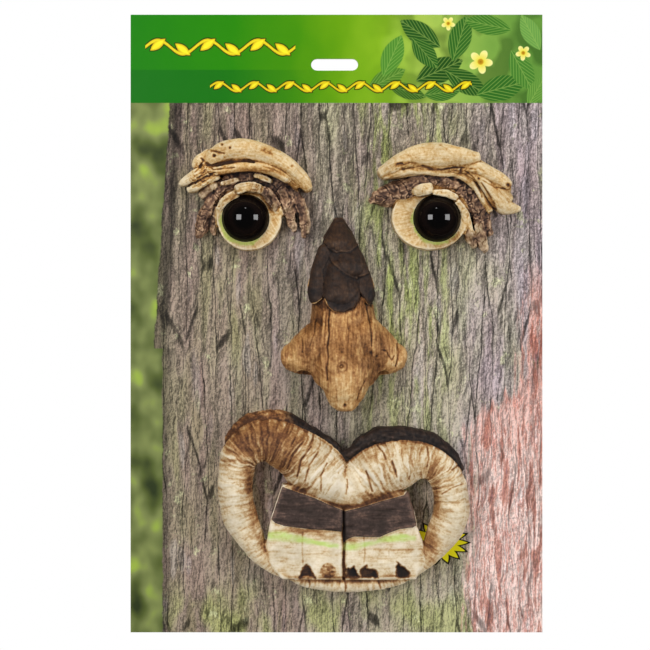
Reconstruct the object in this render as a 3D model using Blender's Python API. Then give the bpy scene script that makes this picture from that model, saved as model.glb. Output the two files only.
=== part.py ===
"""Tree face sculpture: four painted relief castings and two glass-look eyeballs on a printed backing card.

Metres, +Z up. The front faces -Y, and the origin is the centre of the card's back face.
Every casting has a flat back, walls square to it and a rounded crown. Its limbs are given as rows of
(x, z, half width, height): the first three are percent of the casting's own width, from the casting's
centre, and the height is percent of the casting's relief.
"""
import math

import bmesh
import bpy
from mathutils import Vector

# Backing card
CARD_WIDTH = 0.280
CARD_HEIGHT = 0.420
CARD_THICKNESS = 0.002
SLOT_WIDTH = 0.032
SLOT_HEIGHT = 0.008
SLOT_DROP = 0.034  # card's top edge to the slot's centre line
SLOT_SHIFT = -0.0013  # the slot sits a little left of the card's middle

# Castings: width across, and height of the highest point over the flat back
LEFT_EYE_WIDTH = 0.0925
RIGHT_EYE_WIDTH = 0.107
EYE_RELIEF = 0.024
NOSE_WIDTH = 0.0868
NOSE_RELIEF = 0.036
MOUTH_WIDTH = 0.1705
LIP_RELIEF = 0.026
TOOTH_RELIEF = 0.0165
TOOTH_BARK_PROUD = 0.0015
TOOTH_BEVEL = 0.0012
NOTCH_DEPTH = 0.004
TOOTH_SEAM_DEPTH = 0.005  # how far the groove between the teeth goes in

# Where the face sits on the card
EYE_LINE_DROP = 0.139  # card's top edge to the eyeballs' centres
NOSE_SHIFT = 0.0044
NOSE_DROP = 0.0627  # eye line to the nose's centre
LEFT_BROW_TO_NOSE = 0.0207  # inner end of the brow to the nose's centre line
RIGHT_BROW_TO_NOSE = 0.0150
NOSE_TO_MOUTH = 0.038  # tip of the nose to the dip of the upper lip
MOUTH_SHIFT = 0.0004  # mouth's centre line from the nose's

# Eyeballs and their sockets
EYEBALL_DIAMETER = 0.032
EYEBALL_RIM_HEIGHT = 0.008  # casting's back to the ball's widest circle
SOCKET_FLOOR = 0.002
RING_HEIGHT = 0.0105
RING_TAPER = 0.96  # width of the ring's front face over that of its back

# Clearances
GLUE_GAP = 0.0003  # card's face to each casting's back
EYEBALL_CLEARANCE = 0.0003  # ball to socket, all round

# Mesh steps
ARCH_STEPS = 5
BALL_SEGMENTS = 28
BALL_RINGS = 8
SLOT_END_STEPS = 8
TRIM_DEPTH = 0.004  # how far a limb is drawn past its flat back before it is trimmed

# Shares of each casting's width that other pieces line up with
LEFT_BROW_REACH = 0.487
RIGHT_BROW_REACH = 0.4516
NOSE_TIP_REACH = 0.758
LIP_DIP_REACH = 0.133

LEFT_EYE_LIMBS = {
    "brow_crest": [(-29.5, 39.5, 4.4, 70), (-23.6, 44.0, 5.8, 84), (-14.2, 48.4, 7.4, 93), (-0.4, 49.5, 8.0, 100),
                   (13.5, 46.5, 7.2, 100), (25.1, 41.1, 6.6, 96), (34.5, 34.2, 6.2, 90), (41.8, 27.3, 5.5, 82),
                   (45.6, 21.5, 3.6, 70)],
    "brow_lower_ridge": [(-28.0, 34.5, 4.4, 76), (-18.5, 35.6, 4.0, 84), (-5.5, 37.8, 4.0, 90),
                         (7.6, 37.8, 4.4, 92), (19.3, 35.6, 4.7, 90), (30.0, 29.6, 4.4, 82)],
    "brow_body": [(-28.0, 37.0, 7.0, 66), (-14.0, 42.0, 8.0, 80), (0.0, 43.5, 8.5, 86), (14.0, 42.0, 8.0, 86),
                  (27.0, 36.0, 7.5, 82), (38.5, 26.0, 6.0, 72)],
    "brow_fold": [(-26.7, 47.0, 3.6, 72), (-33.8, 41.8, 3.6, 70), (-36.7, 37.5, 2.9, 64)],
    "brow_horn": [(-27.3, 34.5, 5.1, 74), (-34.5, 31.6, 4.7, 72), (-41.8, 28.0, 3.6, 64), (-47.9, 25.0, 1.8, 52)],
    "brow_tongue": [(-21.5, 30.9, 3.6, 70), (-29.5, 26.9, 3.6, 66), (-36.7, 22.9, 3.3, 58), (-41.8, 20.7, 2.2, 50)],
    "brow_under_fold": [(-22.2, 24.4, 3.6, 56), (-28.0, 20.0, 3.6, 52), (-32.4, 16.4, 2.9, 46)],
    "bark_arch": [(-25.8, 14.2, 5.8, 44), (-19.3, 21.5, 6.5, 54), (-9.1, 26.5, 6.5, 62), (3.3, 28.7, 6.5, 64),
                  (16.4, 26.5, 7.3, 62), (27.3, 20.0, 7.3, 56), (35.3, 12.0, 5.8, 46)],
    "bark_plate_right": [(6.9, 29.8, 2.2, 74), (12.7, 28.7, 2.5, 74), (17.8, 26.5, 2.2, 68)],
    "bark_plate_left": [(-17.1, 25.1, 2.2, 64), (-11.3, 26.2, 2.2, 68), (-5.5, 27.6, 2.2, 70)],
    "lid_left": [(-18.5, 8.4, 3.6, 52), (-13.5, 13.1, 4.4, 64), (-6.2, 17.1, 4.0, 72)],
    "lid_top": [(-5.5, 20.0, 4.0, 76), (2.5, 21.8, 4.7, 80), (11.3, 20.4, 4.4, 78)],
    "lid_right": [(12.7, 20.7, 3.6, 72), (17.8, 14.9, 5.1, 66), (22.2, 8.4, 4.4, 54), (25.8, 2.5, 2.9, 42)],
    "outer_strand": [(-22.9, 17.1, 3.6, 48), (-26.5, 9.8, 4.7, 46), (-29.5, 2.5, 5.1, 42), (-32.4, -5.5, 5.5, 38),
                     (-34.5, -12.0, 3.6, 30)],
    "inner_strand": [(-19.3, 7.6, 2.9, 44), (-22.2, 1.1, 2.9, 38), (-23.6, -6.2, 2.5, 32), (-23.6, -11.3, 1.5, 26)],
    "flake_inner": [(26.5, 20.0, 4.4, 54), (30.9, 9.8, 4.4, 48), (33.1, 0.4, 4.0, 42), (35.3, -8.4, 2.2, 32)],
    "flake_middle": [(33.8, 20.0, 4.4, 52), (38.9, 10.5, 4.4, 46), (41.8, 1.1, 4.0, 40), (42.3, -13.9, 1.8, 26)],
    "flake_outer": [(40.4, 12.7, 2.9, 42), (43.3, 4.0, 3.0, 40), (45.5, -4.0, 2.3, 34), (44.7, -9.8, 1.6, 28)],
}
LEFT_RING = (2.5, 0.4, 24.0, 24.0)

RIGHT_EYE_LIMBS = {
    "brow_crest": [(-35.1, 28.3, 3.8, 70), (-28.2, 32.4, 5.0, 80), (-20.0, 36.2, 6.0, 88), (-9.9, 39.0, 7.2, 96),
                   (2.0, 39.3, 7.9, 100), (11.4, 38.4, 6.6, 98), (19.6, 37.7, 5.0, 94), (25.3, 38.1, 3.2, 86)],
    "brow_lower_ridge": [(-33.2, 26.4, 2.5, 66), (-24.4, 28.6, 3.1, 74), (-16.2, 30.2, 3.1, 78),
                         (-7.4, 29.6, 2.5, 76), (2.0, 28.3, 2.5, 74), (11.4, 28.3, 2.5, 72)],
    "brow_body": [(-30.0, 28.5, 4.0, 64), (-18.0, 32.0, 6.0, 78), (-8.0, 33.5, 6.5, 84), (3.0, 33.5, 7.0, 86),
                  (14.0, 33.0, 6.5, 84), (25.0, 31.0, 6.0, 80), (36.0, 24.0, 6.0, 70), (43.0, 17.0, 5.0, 58)],
    "brow_upper_rib": [(15.8, 30.2, 3.1, 80), (23.4, 31.4, 3.8, 84), (30.9, 28.6, 4.4, 84), (39.1, 24.5, 4.1, 78),
                       (44.9, 20.6, 3.1, 70)],
    "brow_web": [(30.2, 25.0, 3.8, 74), (39.1, 17.6, 5.0, 66), (45.0, 11.3, 4.0, 56)],
    "brow_lower_rib": [(19.6, 28.3, 2.5, 76), (27.2, 23.9, 3.8, 78), (32.8, 17.6, 4.7, 74), (37.9, 11.3, 5.7, 68),
                       (42.9, 7.5, 5.4, 60), (48.6, 6.3, 3.6, 50), (52.3, 6.0, 1.6, 40)],
    "brow_inner_rib": [(12.1, 27.7, 2.5, 70), (19.6, 23.9, 2.8, 68), (25.3, 18.2, 2.8, 62), (29.7, 11.3, 2.8, 56),
                       (33.5, 5.0, 2.5, 48)],
    "bark_clump": [(-41.6, 11.3, 2.4, 34), (-36.4, 13.2, 5.0, 42), (-28.2, 14.8, 7.5, 48), (-20.0, 17.0, 7.5, 54),
                   (-13.1, 20.1, 5.7, 58)],
    "bark_arch": [(-15.6, 22.0, 5.0, 58), (-4.3, 24.8, 5.0, 62), (7.7, 23.3, 5.3, 62), (16.5, 17.6, 5.3, 56),
                  (22.8, 9.4, 5.3, 50), (27.2, 0.0, 4.7, 44), (30.3, -8.8, 3.8, 36)],
    "lid_left": [(-14.3, 17.0, 3.8, 66), (-9.3, 17.9, 4.4, 74), (-3.6, 18.9, 3.8, 74)],
    "lid_top": [(-2.4, 15.7, 1.9, 70), (5.8, 15.1, 2.8, 72), (12.7, 12.3, 2.2, 64)],
    "lid_right": [(12.7, 10.1, 2.2, 60), (17.1, 3.8, 2.8, 52), (19.6, -3.1, 2.8, 44), (20.9, -6.9, 2.2, 38)],
    "flake_inner": [(19.0, -5.7, 2.8, 40), (21.5, -11.9, 3.5, 36), (24.0, -17.6, 1.9, 28)],
    "flake_outer": [(27.2, -3.8, 3.5, 40), (28.4, -11.9, 3.5, 36), (30.3, -18.9, 2.3, 30), (31.1, -21.4, 1.3, 24)],
    "outer_strand": [(19.6, 18.2, 3.1, 56), (26.5, 8.8, 3.5, 48), (31.6, -0.6, 2.8, 40), (33.5, -9.4, 1.9, 32)],
}
RIGHT_RING = (-4.3, 0.6, 24.5, 20.8)

NOSE_LIMBS = {
    "bridge": [(-3.8, 70.5, 4.6, 24), (-3.1, 61.5, 10.0, 34), (-2.7, 47.7, 15.4, 46), (-1.9, 30.8, 20.0, 56),
               (-1.2, 13.1, 23.1, 64), (-0.4, -3.1, 24.6, 70), (0.8, -21.5, 26.2, 80), (1.5, -36.0, 25.0, 91),
               (1.5, -48.0, 21.5, 98), (1.5, -58.0, 17.8, 100), (0.8, -65.5, 14.0, 94), (0.8, -69.3, 11.4, 84)],
    "left_wing": [(-11.5, -22.0, 19.0, 76), (-24.4, -31.0, 17.6, 66), (-35.4, -35.2, 14.0, 54), (-42.6, -36.2, 9.6, 42)],
    "right_wing": [(13.8, -22.0, 19.0, 76), (25.5, -31.0, 17.6, 66), (36.2, -35.4, 14.0, 54), (43.0, -36.6, 9.6, 42)],
    "left_flare": [(-21.0, -38.0, 10.0, 56), (-13.5, -49.5, 9.0, 62), (-7.0, -57.5, 7.5, 72)],
    "right_flare": [(24.0, -38.0, 10.0, 56), (16.5, -49.5, 9.0, 62), (9.5, -57.5, 7.5, 72)],
    "scale_left": [(-13.8, 47.7, 6.2, 46), (-16.9, 32.3, 7.7, 52), (-18.6, 18.5, 8.0, 57), (-19.4, 9.5, 6.4, 60)],
    "scale_right": [(11.5, 38.5, 5.4, 50), (14.6, 26.9, 6.9, 55), (16.9, 16.9, 7.3, 60), (17.3, 9.5, 6.0, 62)],
    "scale_low": [(-3.8, 32.3, 9.2, 63), (-2.3, 21.5, 12.3, 71), (-1.5, 10.8, 12.6, 78), (-0.8, 3.3, 8.5, 79)],
    "scale_middle": [(1.5, 50.8, 6.2, 52), (5.4, 42.3, 10.0, 61), (6.9, 33.8, 10.8, 68), (8.0, 27.9, 6.9, 70)],
    "scale_top": [(-3.1, 69.0, 3.8, 34), (-2.3, 61.5, 9.2, 46), (-2.3, 53.1, 11.9, 56), (-2.3, 47.9, 9.2, 60)],
}
NOSTRILS = [(-29.0, -50.5, 6.5), (29.5, -51.0, 6.0)]

LIP_ROWS = [
    (0.6, 3.9, 8.0, 84), (6.9, 6.7, 9.4, 92), (14.3, 11.4, 11.0, 98), (22.2, 14.1, 10.2, 100), (30.0, 15.3, 7.5, 98),
    (36.7, 12.9, 6.3, 94), (41.0, 7.1, 6.9, 90), (42.5, 0.0, 6.9, 88), (42.2, -7.1, 6.9, 86), (39.0, -14.1, 6.3, 80),
    (34.7, -21.2, 4.3, 70), (28.0, -27.8, 2.9, 60), (19.0, -32.5, 2.5, 56), (8.4, -33.9, 2.7, 56), (-3.3, -33.9, 2.9, 56),
    (-13.1, -32.5, 2.9, 56), (-21.8, -29.4, 2.5, 58), (-28.0, -26.5, 2.9, 60), (-33.1, -22.0, 3.7, 68),
    (-36.7, -15.7, 5.5, 78), (-40.8, -7.8, 6.7, 84), (-42.7, 0.8, 6.9, 86), (-42.7, 8.6, 6.9, 88),
    (-41.0, 16.9, 7.3, 92), (-35.5, 22.0, 8.2, 96), (-28.4, 23.1, 9.2, 100), (-20.6, 17.6, 11.8, 100),
    (-12.7, 13.3, 11.8, 98), (-6.5, 8.2, 10.0, 92),
]
LIP_BARK_LIMBS = {
    "bark_rim_left": [(-1.8, 14.9, 2.4, 46), (-4.9, 19.6, 3.1, 54), (-10.0, 23.1, 3.5, 60), (-16.3, 26.7, 3.5, 64),
                      (-22.2, 29.8, 3.9, 66), (-28.8, 31.4, 3.9, 66), (-35.1, 30.2, 3.9, 62), (-40.2, 27.1, 3.9, 58),
                      (-44.5, 22.4, 3.1, 52)],
    "bark_rim_right": [(0.6, 16.5, 2.2, 46), (3.3, 17.6, 2.7, 54), (8.0, 21.2, 3.5, 62), (13.5, 24.3, 3.5, 68),
                       (20.2, 24.7, 3.9, 70), (26.5, 24.3, 3.9, 70), (32.4, 22.7, 3.9, 66), (37.8, 19.6, 3.9, 60),
                       (42.5, 16.1, 3.5, 54), (45.3, 11.8, 2.7, 48)],
}
LIP_WRINKLES = 29
LIP_WRINKLE_SHARE = 0.035
LEFT_TOOTH = [(-24.3, 6.0), (-0.5, 4.0), (-0.5, -31.6), (-24.0, -31.6), (-29.4, -26.0), (-30.6, -19.0), (-29.4, -10.4)]
RIGHT_TOOTH = [(0.5, 4.0), (25.1, 3.0), (28.6, -9.8), (31.4, -17.6), (31.8, -24.0), (28.6, -31.6), (0.5, -31.6)]
LEFT_TOOTH_BARK = [(-24.8, 7.0), (-0.9, 5.0), (-0.9, -11.6), (-9.0, -12.4), (-18.0, -11.6), (-26.0, -10.8),
                   (-29.8, -9.6)]
RIGHT_TOOTH_BARK = [(0.9, 5.0), (25.5, 4.0), (29.1, -10.4), (25.0, -11.8), (17.0, -14.8), (8.0, -13.6), (0.9, -14.2)]
TOOTH_SEAM = [(-3.0, 4.0), (3.0, 4.0), (3.0, -31.0), (-3.0, -31.0)]
TOOTH_NOTCHES = [(-14.3, -27.5, 2.4), (1.2, -28.3, 1.6), (7.6, -28.0, 2.8), (13.8, -28.8, 2.0), (23.0, -27.4, 2.8)]


def painted(name, colour, roughness):
    """A painted or printed surface of one plain colour."""
    material = bpy.data.materials.new(name)
    material.use_nodes = True
    shader = material.node_tree.nodes["Principled BSDF"]
    shader.inputs["Base Color"].default_value = (*colour, 1.0)
    shader.inputs["Roughness"].default_value = roughness
    shader.inputs["Metallic"].default_value = 0.0
    return material


def add_object(name, bm, place=(0.0, 0.0, 0.0)):
    """Turns a bmesh into a scene object at a place, with its normals outward."""
    bmesh.ops.recalc_face_normals(bm, faces=bm.faces)
    mesh = bpy.data.meshes.new(name)
    bm.to_mesh(mesh)
    bm.free()
    obj = bpy.data.objects.new(name, mesh)
    obj.location = place
    bpy.context.scene.collection.objects.link(obj)
    return obj


def finish(obj, material):
    """Gives a finished sub-part its material and smooth shading with crisp edges."""
    obj.data.materials.append(material)
    obj.data.shade_smooth()
    obj.data.set_sharp_from_angle(angle=math.radians(40))


def combine(target, tool, operation):
    """Joins a guide object to the target, or cuts it away, and keeps the guide out of the model."""
    tool.hide_render = True
    tool.display_type = 'WIRE'
    boolean = target.modifiers.new(f"{operation.lower()} {tool.name}", 'BOOLEAN')
    boolean.operation = operation
    boolean.solver = 'EXACT'
    boolean.use_self = True
    boolean.object = tool


def smooth_rows(rows, steps, closed):
    """Rows along a Catmull-Rom curve through the given rows, with the given steps between each two."""
    count = len(rows)
    spans = count if closed else count - 1
    vectors = [Vector(row) for row in rows]

    def pick(index):
        return vectors[index % count] if closed else vectors[max(0, min(count - 1, index))]

    result = []
    for span in range(spans):
        before, start, end, after = (pick(span + offset) for offset in (-1, 0, 1, 2))
        for step in range(steps):
            t = step / steps
            result.append(0.5 * (2 * start + (end - before) * t + (2 * before - 5 * start + 4 * end - after) * t ** 2
                                 + (3 * start - before - 3 * end + after) * t ** 3))
    if not closed:
        result.append(vectors[-1])
    return result


def rounded_ends(rows):
    """Adds a smaller, lower row past each end of an open limb, so that it ends round."""
    for end, neighbour in ((0, 1), (-1, -2)):
        x, z, half_width, height = rows[end]
        out = (Vector((x, z)) - Vector(rows[neighbour][:2])).normalized() * half_width * 0.55
        row = Vector((x + out.x, z + out.y, half_width * 0.6, height * 0.9))
        rows = [row] + rows if end == 0 else rows + [row]
    return rows


def section(bm, centre, along, half_width, height, crown):
    """One section square to a limb's run: two feet behind the flat back and a rounded arch over them."""
    across = Vector((-along.y, along.x))
    points = [(half_width, TRIM_DEPTH)]
    rise = min(half_width * crown, height * 0.8)
    for step in range(ARCH_STEPS + 1):
        angle = math.pi * step / ARCH_STEPS
        points.append((half_width * math.cos(angle), -height + rise * (1 - math.sin(angle))))
    points.append((-half_width, TRIM_DEPTH))
    return [bm.verts.new((centre.x + across.x * side, depth, centre.y + across.y * side)) for side, depth in points]


def limb(name, rows, width, relief, place, closed=False, steps=2, crown=0.8, wrinkles=0):
    """A raised limb of a casting, lofted through sections along its rows."""
    rows = smooth_rows(rows, steps, closed)
    if not closed:
        rows = rounded_ends(rows)
    bm = bmesh.new()
    rings = []
    count = len(rows)
    for index, row in enumerate(rows):
        ahead = rows[(index + 1) % count] if closed else rows[min(index + 1, count - 1)]
        behind = rows[(index - 1) % count] if closed else rows[max(index - 1, 0)]
        along = Vector((ahead[0] - behind[0], ahead[1] - behind[1])).normalized()
        centre = Vector((row[0], row[1])) * width / 100
        fold = 1 - LIP_WRINKLE_SHARE * (1 + math.cos(2 * math.pi * wrinkles * index / count)) / 2 if wrinkles else 1
        rings.append(section(bm, centre, along, row[2] * width / 100 * fold, row[3] * relief / 100 * fold, crown))
    pairs = list(zip(rings, rings[1:]))
    if closed:
        pairs.append((rings[-1], rings[0]))
    else:
        bm.faces.new(rings[0])
        bm.faces.new(rings[-1])
    for near, far in pairs:
        for corner in range(len(near)):
            following = (corner + 1) % len(near)
            bm.faces.new((near[corner], near[following], far[following], far[corner]))
    return add_object(name, bm, place)


def slab(name, outline, width, height, place):
    """A flat-fronted block of the given outline, with its front edge bevelled."""
    bm = bmesh.new()
    back = bm.faces.new([bm.verts.new((x * width / 100, TRIM_DEPTH, z * width / 100)) for x, z in outline])
    front = bmesh.ops.extrude_face_region(bm, geom=[back])["geom"]
    front_verts = [item for item in front if isinstance(item, bmesh.types.BMVert)]
    bmesh.ops.translate(bm, verts=front_verts, vec=(0, -height - TRIM_DEPTH, 0))
    front_edges = [item for item in front if isinstance(item, bmesh.types.BMEdge)]
    bmesh.ops.bevel(bm, geom=front_edges, offset=TOOTH_BEVEL, segments=2, profile=0.5, affect='EDGES', material=-1)
    return add_object(name, bm, place)


def disc(name, x, z, half_width, half_height, width, height, place):
    """The round pad that holds an eyeball: wide at the back, narrower in front."""
    bm = bmesh.new()
    bmesh.ops.create_cone(bm, cap_ends=True, segments=40, radius1=1.0, radius2=RING_TAPER, depth=1.0)
    for vert in bm.verts:
        across, up, depth = vert.co
        share = depth + 0.5
        vert.co = ((x + across * half_width) * width / 100, TRIM_DEPTH - share * (height + TRIM_DEPTH),
                   (z + up * half_height) * width / 100)
    return add_object(name, bm, place)


def domed_insert(name, radius, rim_height, floor, place):
    """A half ball on a short straight skirt that ends flat at the floor height."""
    bm = bmesh.new()
    profile = [(0.0, -rim_height - radius)]
    for step in range(1, BALL_RINGS + 1):
        angle = math.pi / 2 * step / BALL_RINGS
        profile.append((radius * math.sin(angle), -rim_height - radius * math.cos(angle)))
    profile.append((radius, -floor))
    profile.append((0.0, -floor))
    verts = [bm.verts.new((side, depth, 0)) for side, depth in profile]
    edges = [bm.edges.new(pair) for pair in zip(verts, verts[1:])]
    bmesh.ops.spin(bm, geom=verts + edges, cent=(0, 0, 0), axis=(0, 1, 0), angle=2 * math.pi, steps=BALL_SEGMENTS,
                   use_merge=True)
    bmesh.ops.remove_doubles(bm, verts=bm.verts, dist=1e-6)
    return add_object(name, bm, place)


def wedge(name, x, z, half_width, width, place):
    """A three-sided cutter, point up, for a notch in a tooth's lower front edge."""
    reach = half_width * width / 100
    bm = bmesh.new()
    bmesh.ops.create_cone(bm, cap_ends=True, segments=3, radius1=reach, radius2=reach, depth=2 * NOTCH_DEPTH)
    for vert in bm.verts:
        side, up, depth = vert.co
        vert.co = (x * width / 100 + side, depth - TOOTH_RELIEF, z * width / 100 + up)
    return add_object(name, bm, place)


def behind_back(name, width, place):
    """A block behind a casting's flat back, to trim what its limbs left there."""
    bm = bmesh.new()
    bmesh.ops.create_cube(bm, size=1.0)
    bmesh.ops.scale(bm, vec=(2 * width, 2 * TRIM_DEPTH, 3 * width), verts=bm.verts)
    bmesh.ops.translate(bm, vec=(0, TRIM_DEPTH, 0), verts=bm.verts)
    return add_object(name, bm, place)


def build_card():
    """The upright card with its round-ended hang slot."""
    bm = bmesh.new()
    bmesh.ops.create_cube(bm, size=1.0)
    bmesh.ops.scale(bm, vec=(CARD_WIDTH, CARD_THICKNESS, CARD_HEIGHT), verts=bm.verts)
    bmesh.ops.translate(bm, vec=(0, -CARD_THICKNESS / 2, 0), verts=bm.verts)
    card = add_object("backing_card", bm)
    radius = SLOT_HEIGHT / 2
    run = SLOT_WIDTH / 2 - radius
    outline = []
    for side, start in ((1, 0.5), (-1, 1.5)):
        for step in range(SLOT_END_STEPS + 1):
            angle = math.pi * (start - step / SLOT_END_STEPS)
            outline.append((side * run + radius * math.cos(angle), radius * math.sin(angle)))
    bm = bmesh.new()
    face = bm.faces.new([bm.verts.new((x, CARD_THICKNESS, z)) for x, z in outline])
    pushed = bmesh.ops.extrude_face_region(bm, geom=[face])["geom"]
    pushed_verts = [item for item in pushed if isinstance(item, bmesh.types.BMVert)]
    bmesh.ops.translate(bm, verts=pushed_verts, vec=(0, -3 * CARD_THICKNESS, 0))
    slot = add_object("hang slot cutter", bm, (SLOT_SHIFT, 0, CARD_HEIGHT / 2 - SLOT_DROP))
    combine(card, slot, 'DIFFERENCE')
    finish(card, painted("printed card", (0.22, 0.17, 0.13), 0.45))


def build_casting(name, limbs, width, relief, place, material, crown=0.8):
    """Lofts every limb of one casting, joins them into one body and returns it untrimmed."""
    parts = [limb(f"{name} {key}", rows, width, relief, place, crown=crown) for key, rows in limbs.items()]
    body = parts[0]
    body.name = name
    for part in parts[1:]:
        combine(body, part, 'UNION')
    finish(body, material)
    return body


def build_eye(side, limbs, ring, width, place, material, ball_material):
    """One eye casting with its socket, and the ball that sits in it."""
    name = f"{side}_eye_casting"
    body = build_casting(name, limbs, width, EYE_RELIEF, place, material)
    combine(body, disc(f"{side} eye ring", *ring, width, RING_HEIGHT, place), 'UNION')
    combine(body, behind_back(f"{side} eye back", width, place), 'DIFFERENCE')
    radius = EYEBALL_DIAMETER / 2
    socket = domed_insert(f"{side} socket", radius + EYEBALL_CLEARANCE, EYEBALL_RIM_HEIGHT, SOCKET_FLOOR, place)
    combine(body, socket, 'DIFFERENCE')
    ball = domed_insert(f"{side}_eyeball", radius, EYEBALL_RIM_HEIGHT, SOCKET_FLOOR + EYEBALL_CLEARANCE, place)
    finish(ball, ball_material)


def build_nose(place, material):
    """The nose: a bridge, two wings, a cap of overlapping bark scales and two nostrils."""
    body = build_casting("nose", NOSE_LIMBS, NOSE_WIDTH, NOSE_RELIEF, place, material, crown=0.9)
    combine(body, behind_back("nose back", NOSE_WIDTH, place), 'DIFFERENCE')
    for number, (x, z, radius) in enumerate(NOSTRILS):
        bm = bmesh.new()
        reach = radius * NOSE_WIDTH / 100
        bmesh.ops.create_icosphere(bm, subdivisions=2, radius=reach)
        bmesh.ops.translate(bm, vec=(x * NOSE_WIDTH / 100, -NOSE_RELIEF * 0.32, z * NOSE_WIDTH / 100), verts=bm.verts)
        combine(body, add_object(f"nostril {number}", bm, place), 'DIFFERENCE')


def build_mouth(place, material):
    """The heart-shaped lip ring, its bark rim and the two notched teeth, as one casting."""
    body = limb("mouth", LIP_ROWS, MOUTH_WIDTH, LIP_RELIEF, place, closed=True, steps=3, crown=0.75,
                wrinkles=LIP_WRINKLES)
    for key, rows in LIP_BARK_LIMBS.items():
        combine(body, limb(f"mouth {key}", rows, MOUTH_WIDTH, LIP_RELIEF, place), 'UNION')
    bark_height = TOOTH_RELIEF + TOOTH_BARK_PROUD
    for side, tooth, bark in (("left", LEFT_TOOTH, LEFT_TOOTH_BARK), ("right", RIGHT_TOOTH, RIGHT_TOOTH_BARK)):
        block = slab(f"{side} tooth", tooth, MOUTH_WIDTH, TOOTH_RELIEF, place)
        for number, (x, z, reach) in enumerate(TOOTH_NOTCHES):
            if (x < 0) == (side == "left"):
                combine(block, wedge(f"{side} notch {number}", x, z, reach, MOUTH_WIDTH, place), 'DIFFERENCE')
        combine(body, block, 'UNION')
        combine(body, slab(f"{side} tooth bark", bark, MOUTH_WIDTH, bark_height, place), 'UNION')
    seam_floor = slab("seam floor", TOOTH_SEAM, MOUTH_WIDTH, TOOTH_RELIEF - TOOTH_SEAM_DEPTH, place)
    combine(body, seam_floor, 'UNION')
    combine(body, behind_back("mouth back", MOUTH_WIDTH, place), 'DIFFERENCE')
    finish(body, material)


def main():
    for old in list(bpy.data.objects):
        bpy.data.objects.remove(old)
    front = -CARD_THICKNESS - GLUE_GAP
    eye_line = CARD_HEIGHT / 2 - EYE_LINE_DROP
    nose_z = eye_line - NOSE_DROP
    mouth_z = nose_z - NOSE_TIP_REACH * NOSE_WIDTH - NOSE_TO_MOUTH - LIP_DIP_REACH * MOUTH_WIDTH
    left_x = NOSE_SHIFT - LEFT_BROW_TO_NOSE - LEFT_BROW_REACH * LEFT_EYE_WIDTH
    right_x = NOSE_SHIFT + RIGHT_BROW_TO_NOSE + RIGHT_BROW_REACH * RIGHT_EYE_WIDTH
    build_card()
    eye_paint = painted("painted eye casting", (0.55, 0.40, 0.22), 0.6)
    ball_gloss = painted("gloss black eye", (0.01, 0.01, 0.012), 0.05)
    build_eye("left", LEFT_EYE_LIMBS, LEFT_RING, LEFT_EYE_WIDTH, (left_x, front, eye_line), eye_paint, ball_gloss)
    build_eye("right", RIGHT_EYE_LIMBS, RIGHT_RING, RIGHT_EYE_WIDTH, (right_x, front, eye_line), eye_paint,
              ball_gloss)
    build_nose((NOSE_SHIFT, front, nose_z), painted("painted nose casting", (0.33, 0.17, 0.06), 0.6))
    build_mouth((NOSE_SHIFT + MOUTH_SHIFT, front, mouth_z), painted("painted mouth casting", (0.55, 0.42, 0.28), 0.6))


main()
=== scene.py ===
import math

import bmesh
import bpy
import numpy as np
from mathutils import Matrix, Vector


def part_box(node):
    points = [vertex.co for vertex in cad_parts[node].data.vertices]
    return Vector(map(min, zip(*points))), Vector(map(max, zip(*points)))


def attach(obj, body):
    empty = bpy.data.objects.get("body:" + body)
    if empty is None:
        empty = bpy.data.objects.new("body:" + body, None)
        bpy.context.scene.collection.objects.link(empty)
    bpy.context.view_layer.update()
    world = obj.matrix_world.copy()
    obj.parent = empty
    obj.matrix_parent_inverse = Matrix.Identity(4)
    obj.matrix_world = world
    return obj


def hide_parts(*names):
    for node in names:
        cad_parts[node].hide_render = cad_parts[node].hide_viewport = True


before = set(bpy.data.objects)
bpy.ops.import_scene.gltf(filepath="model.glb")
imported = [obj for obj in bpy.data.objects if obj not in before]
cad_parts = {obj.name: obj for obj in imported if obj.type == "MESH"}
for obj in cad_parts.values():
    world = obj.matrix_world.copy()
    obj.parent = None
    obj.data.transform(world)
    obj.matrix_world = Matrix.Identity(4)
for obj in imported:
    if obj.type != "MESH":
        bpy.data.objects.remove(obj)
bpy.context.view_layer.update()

# The photographer's table
# Two square softboxes stand left and right at eye height, a panel and a small lamp hang above, a fill lamp
# lights the back, and a pale sweep lies far below. The camera looks straight at the card.
PIXEL = 0.00068  # metres on the card's front for one pixel of the photograph
LENS = 100.0
SENSOR = 36.0
FRAME_PIXELS = 650
CARD_CENTRE_PIXEL = (336.5, 323.5)
SWEEP_DROP = 0.75
card_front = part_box("backing_card")[0].y
camera_distance = FRAME_PIXELS * PIXEL * LENS / SENSOR

camera_data = bpy.data.cameras.new("camera")
camera_data.lens = LENS
camera_data.sensor_width = SENSOR
camera = bpy.data.objects.new("camera", camera_data)
camera.location = (
    (FRAME_PIXELS / 2 - CARD_CENTRE_PIXEL[0]) * PIXEL,
    card_front - camera_distance,
    (CARD_CENTRE_PIXEL[1] - FRAME_PIXELS / 2) * PIXEL,
)
camera.rotation_euler = (math.radians(90), 0, 0)
bpy.context.scene.collection.objects.link(camera)
bpy.context.scene.camera = camera


def hang_lamp(name, place, size, watts, mirrored=True, aim=(0.0, 0.0, 0.05)):
    """A square area lamp of the given side, aimed at the face, and whether gloss mirrors it."""
    data = bpy.data.lights.new(name, 'AREA')
    data.shape = 'SQUARE'
    data.size = size
    data.energy = watts
    lamp = bpy.data.objects.new(name, data)
    lamp.location = place
    lamp.rotation_euler = (Vector(aim) - Vector(place)).to_track_quat('-Z', 'Y').to_euler()
    lamp.visible_glossy = mirrored
    bpy.context.scene.collection.objects.link(lamp)


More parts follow.
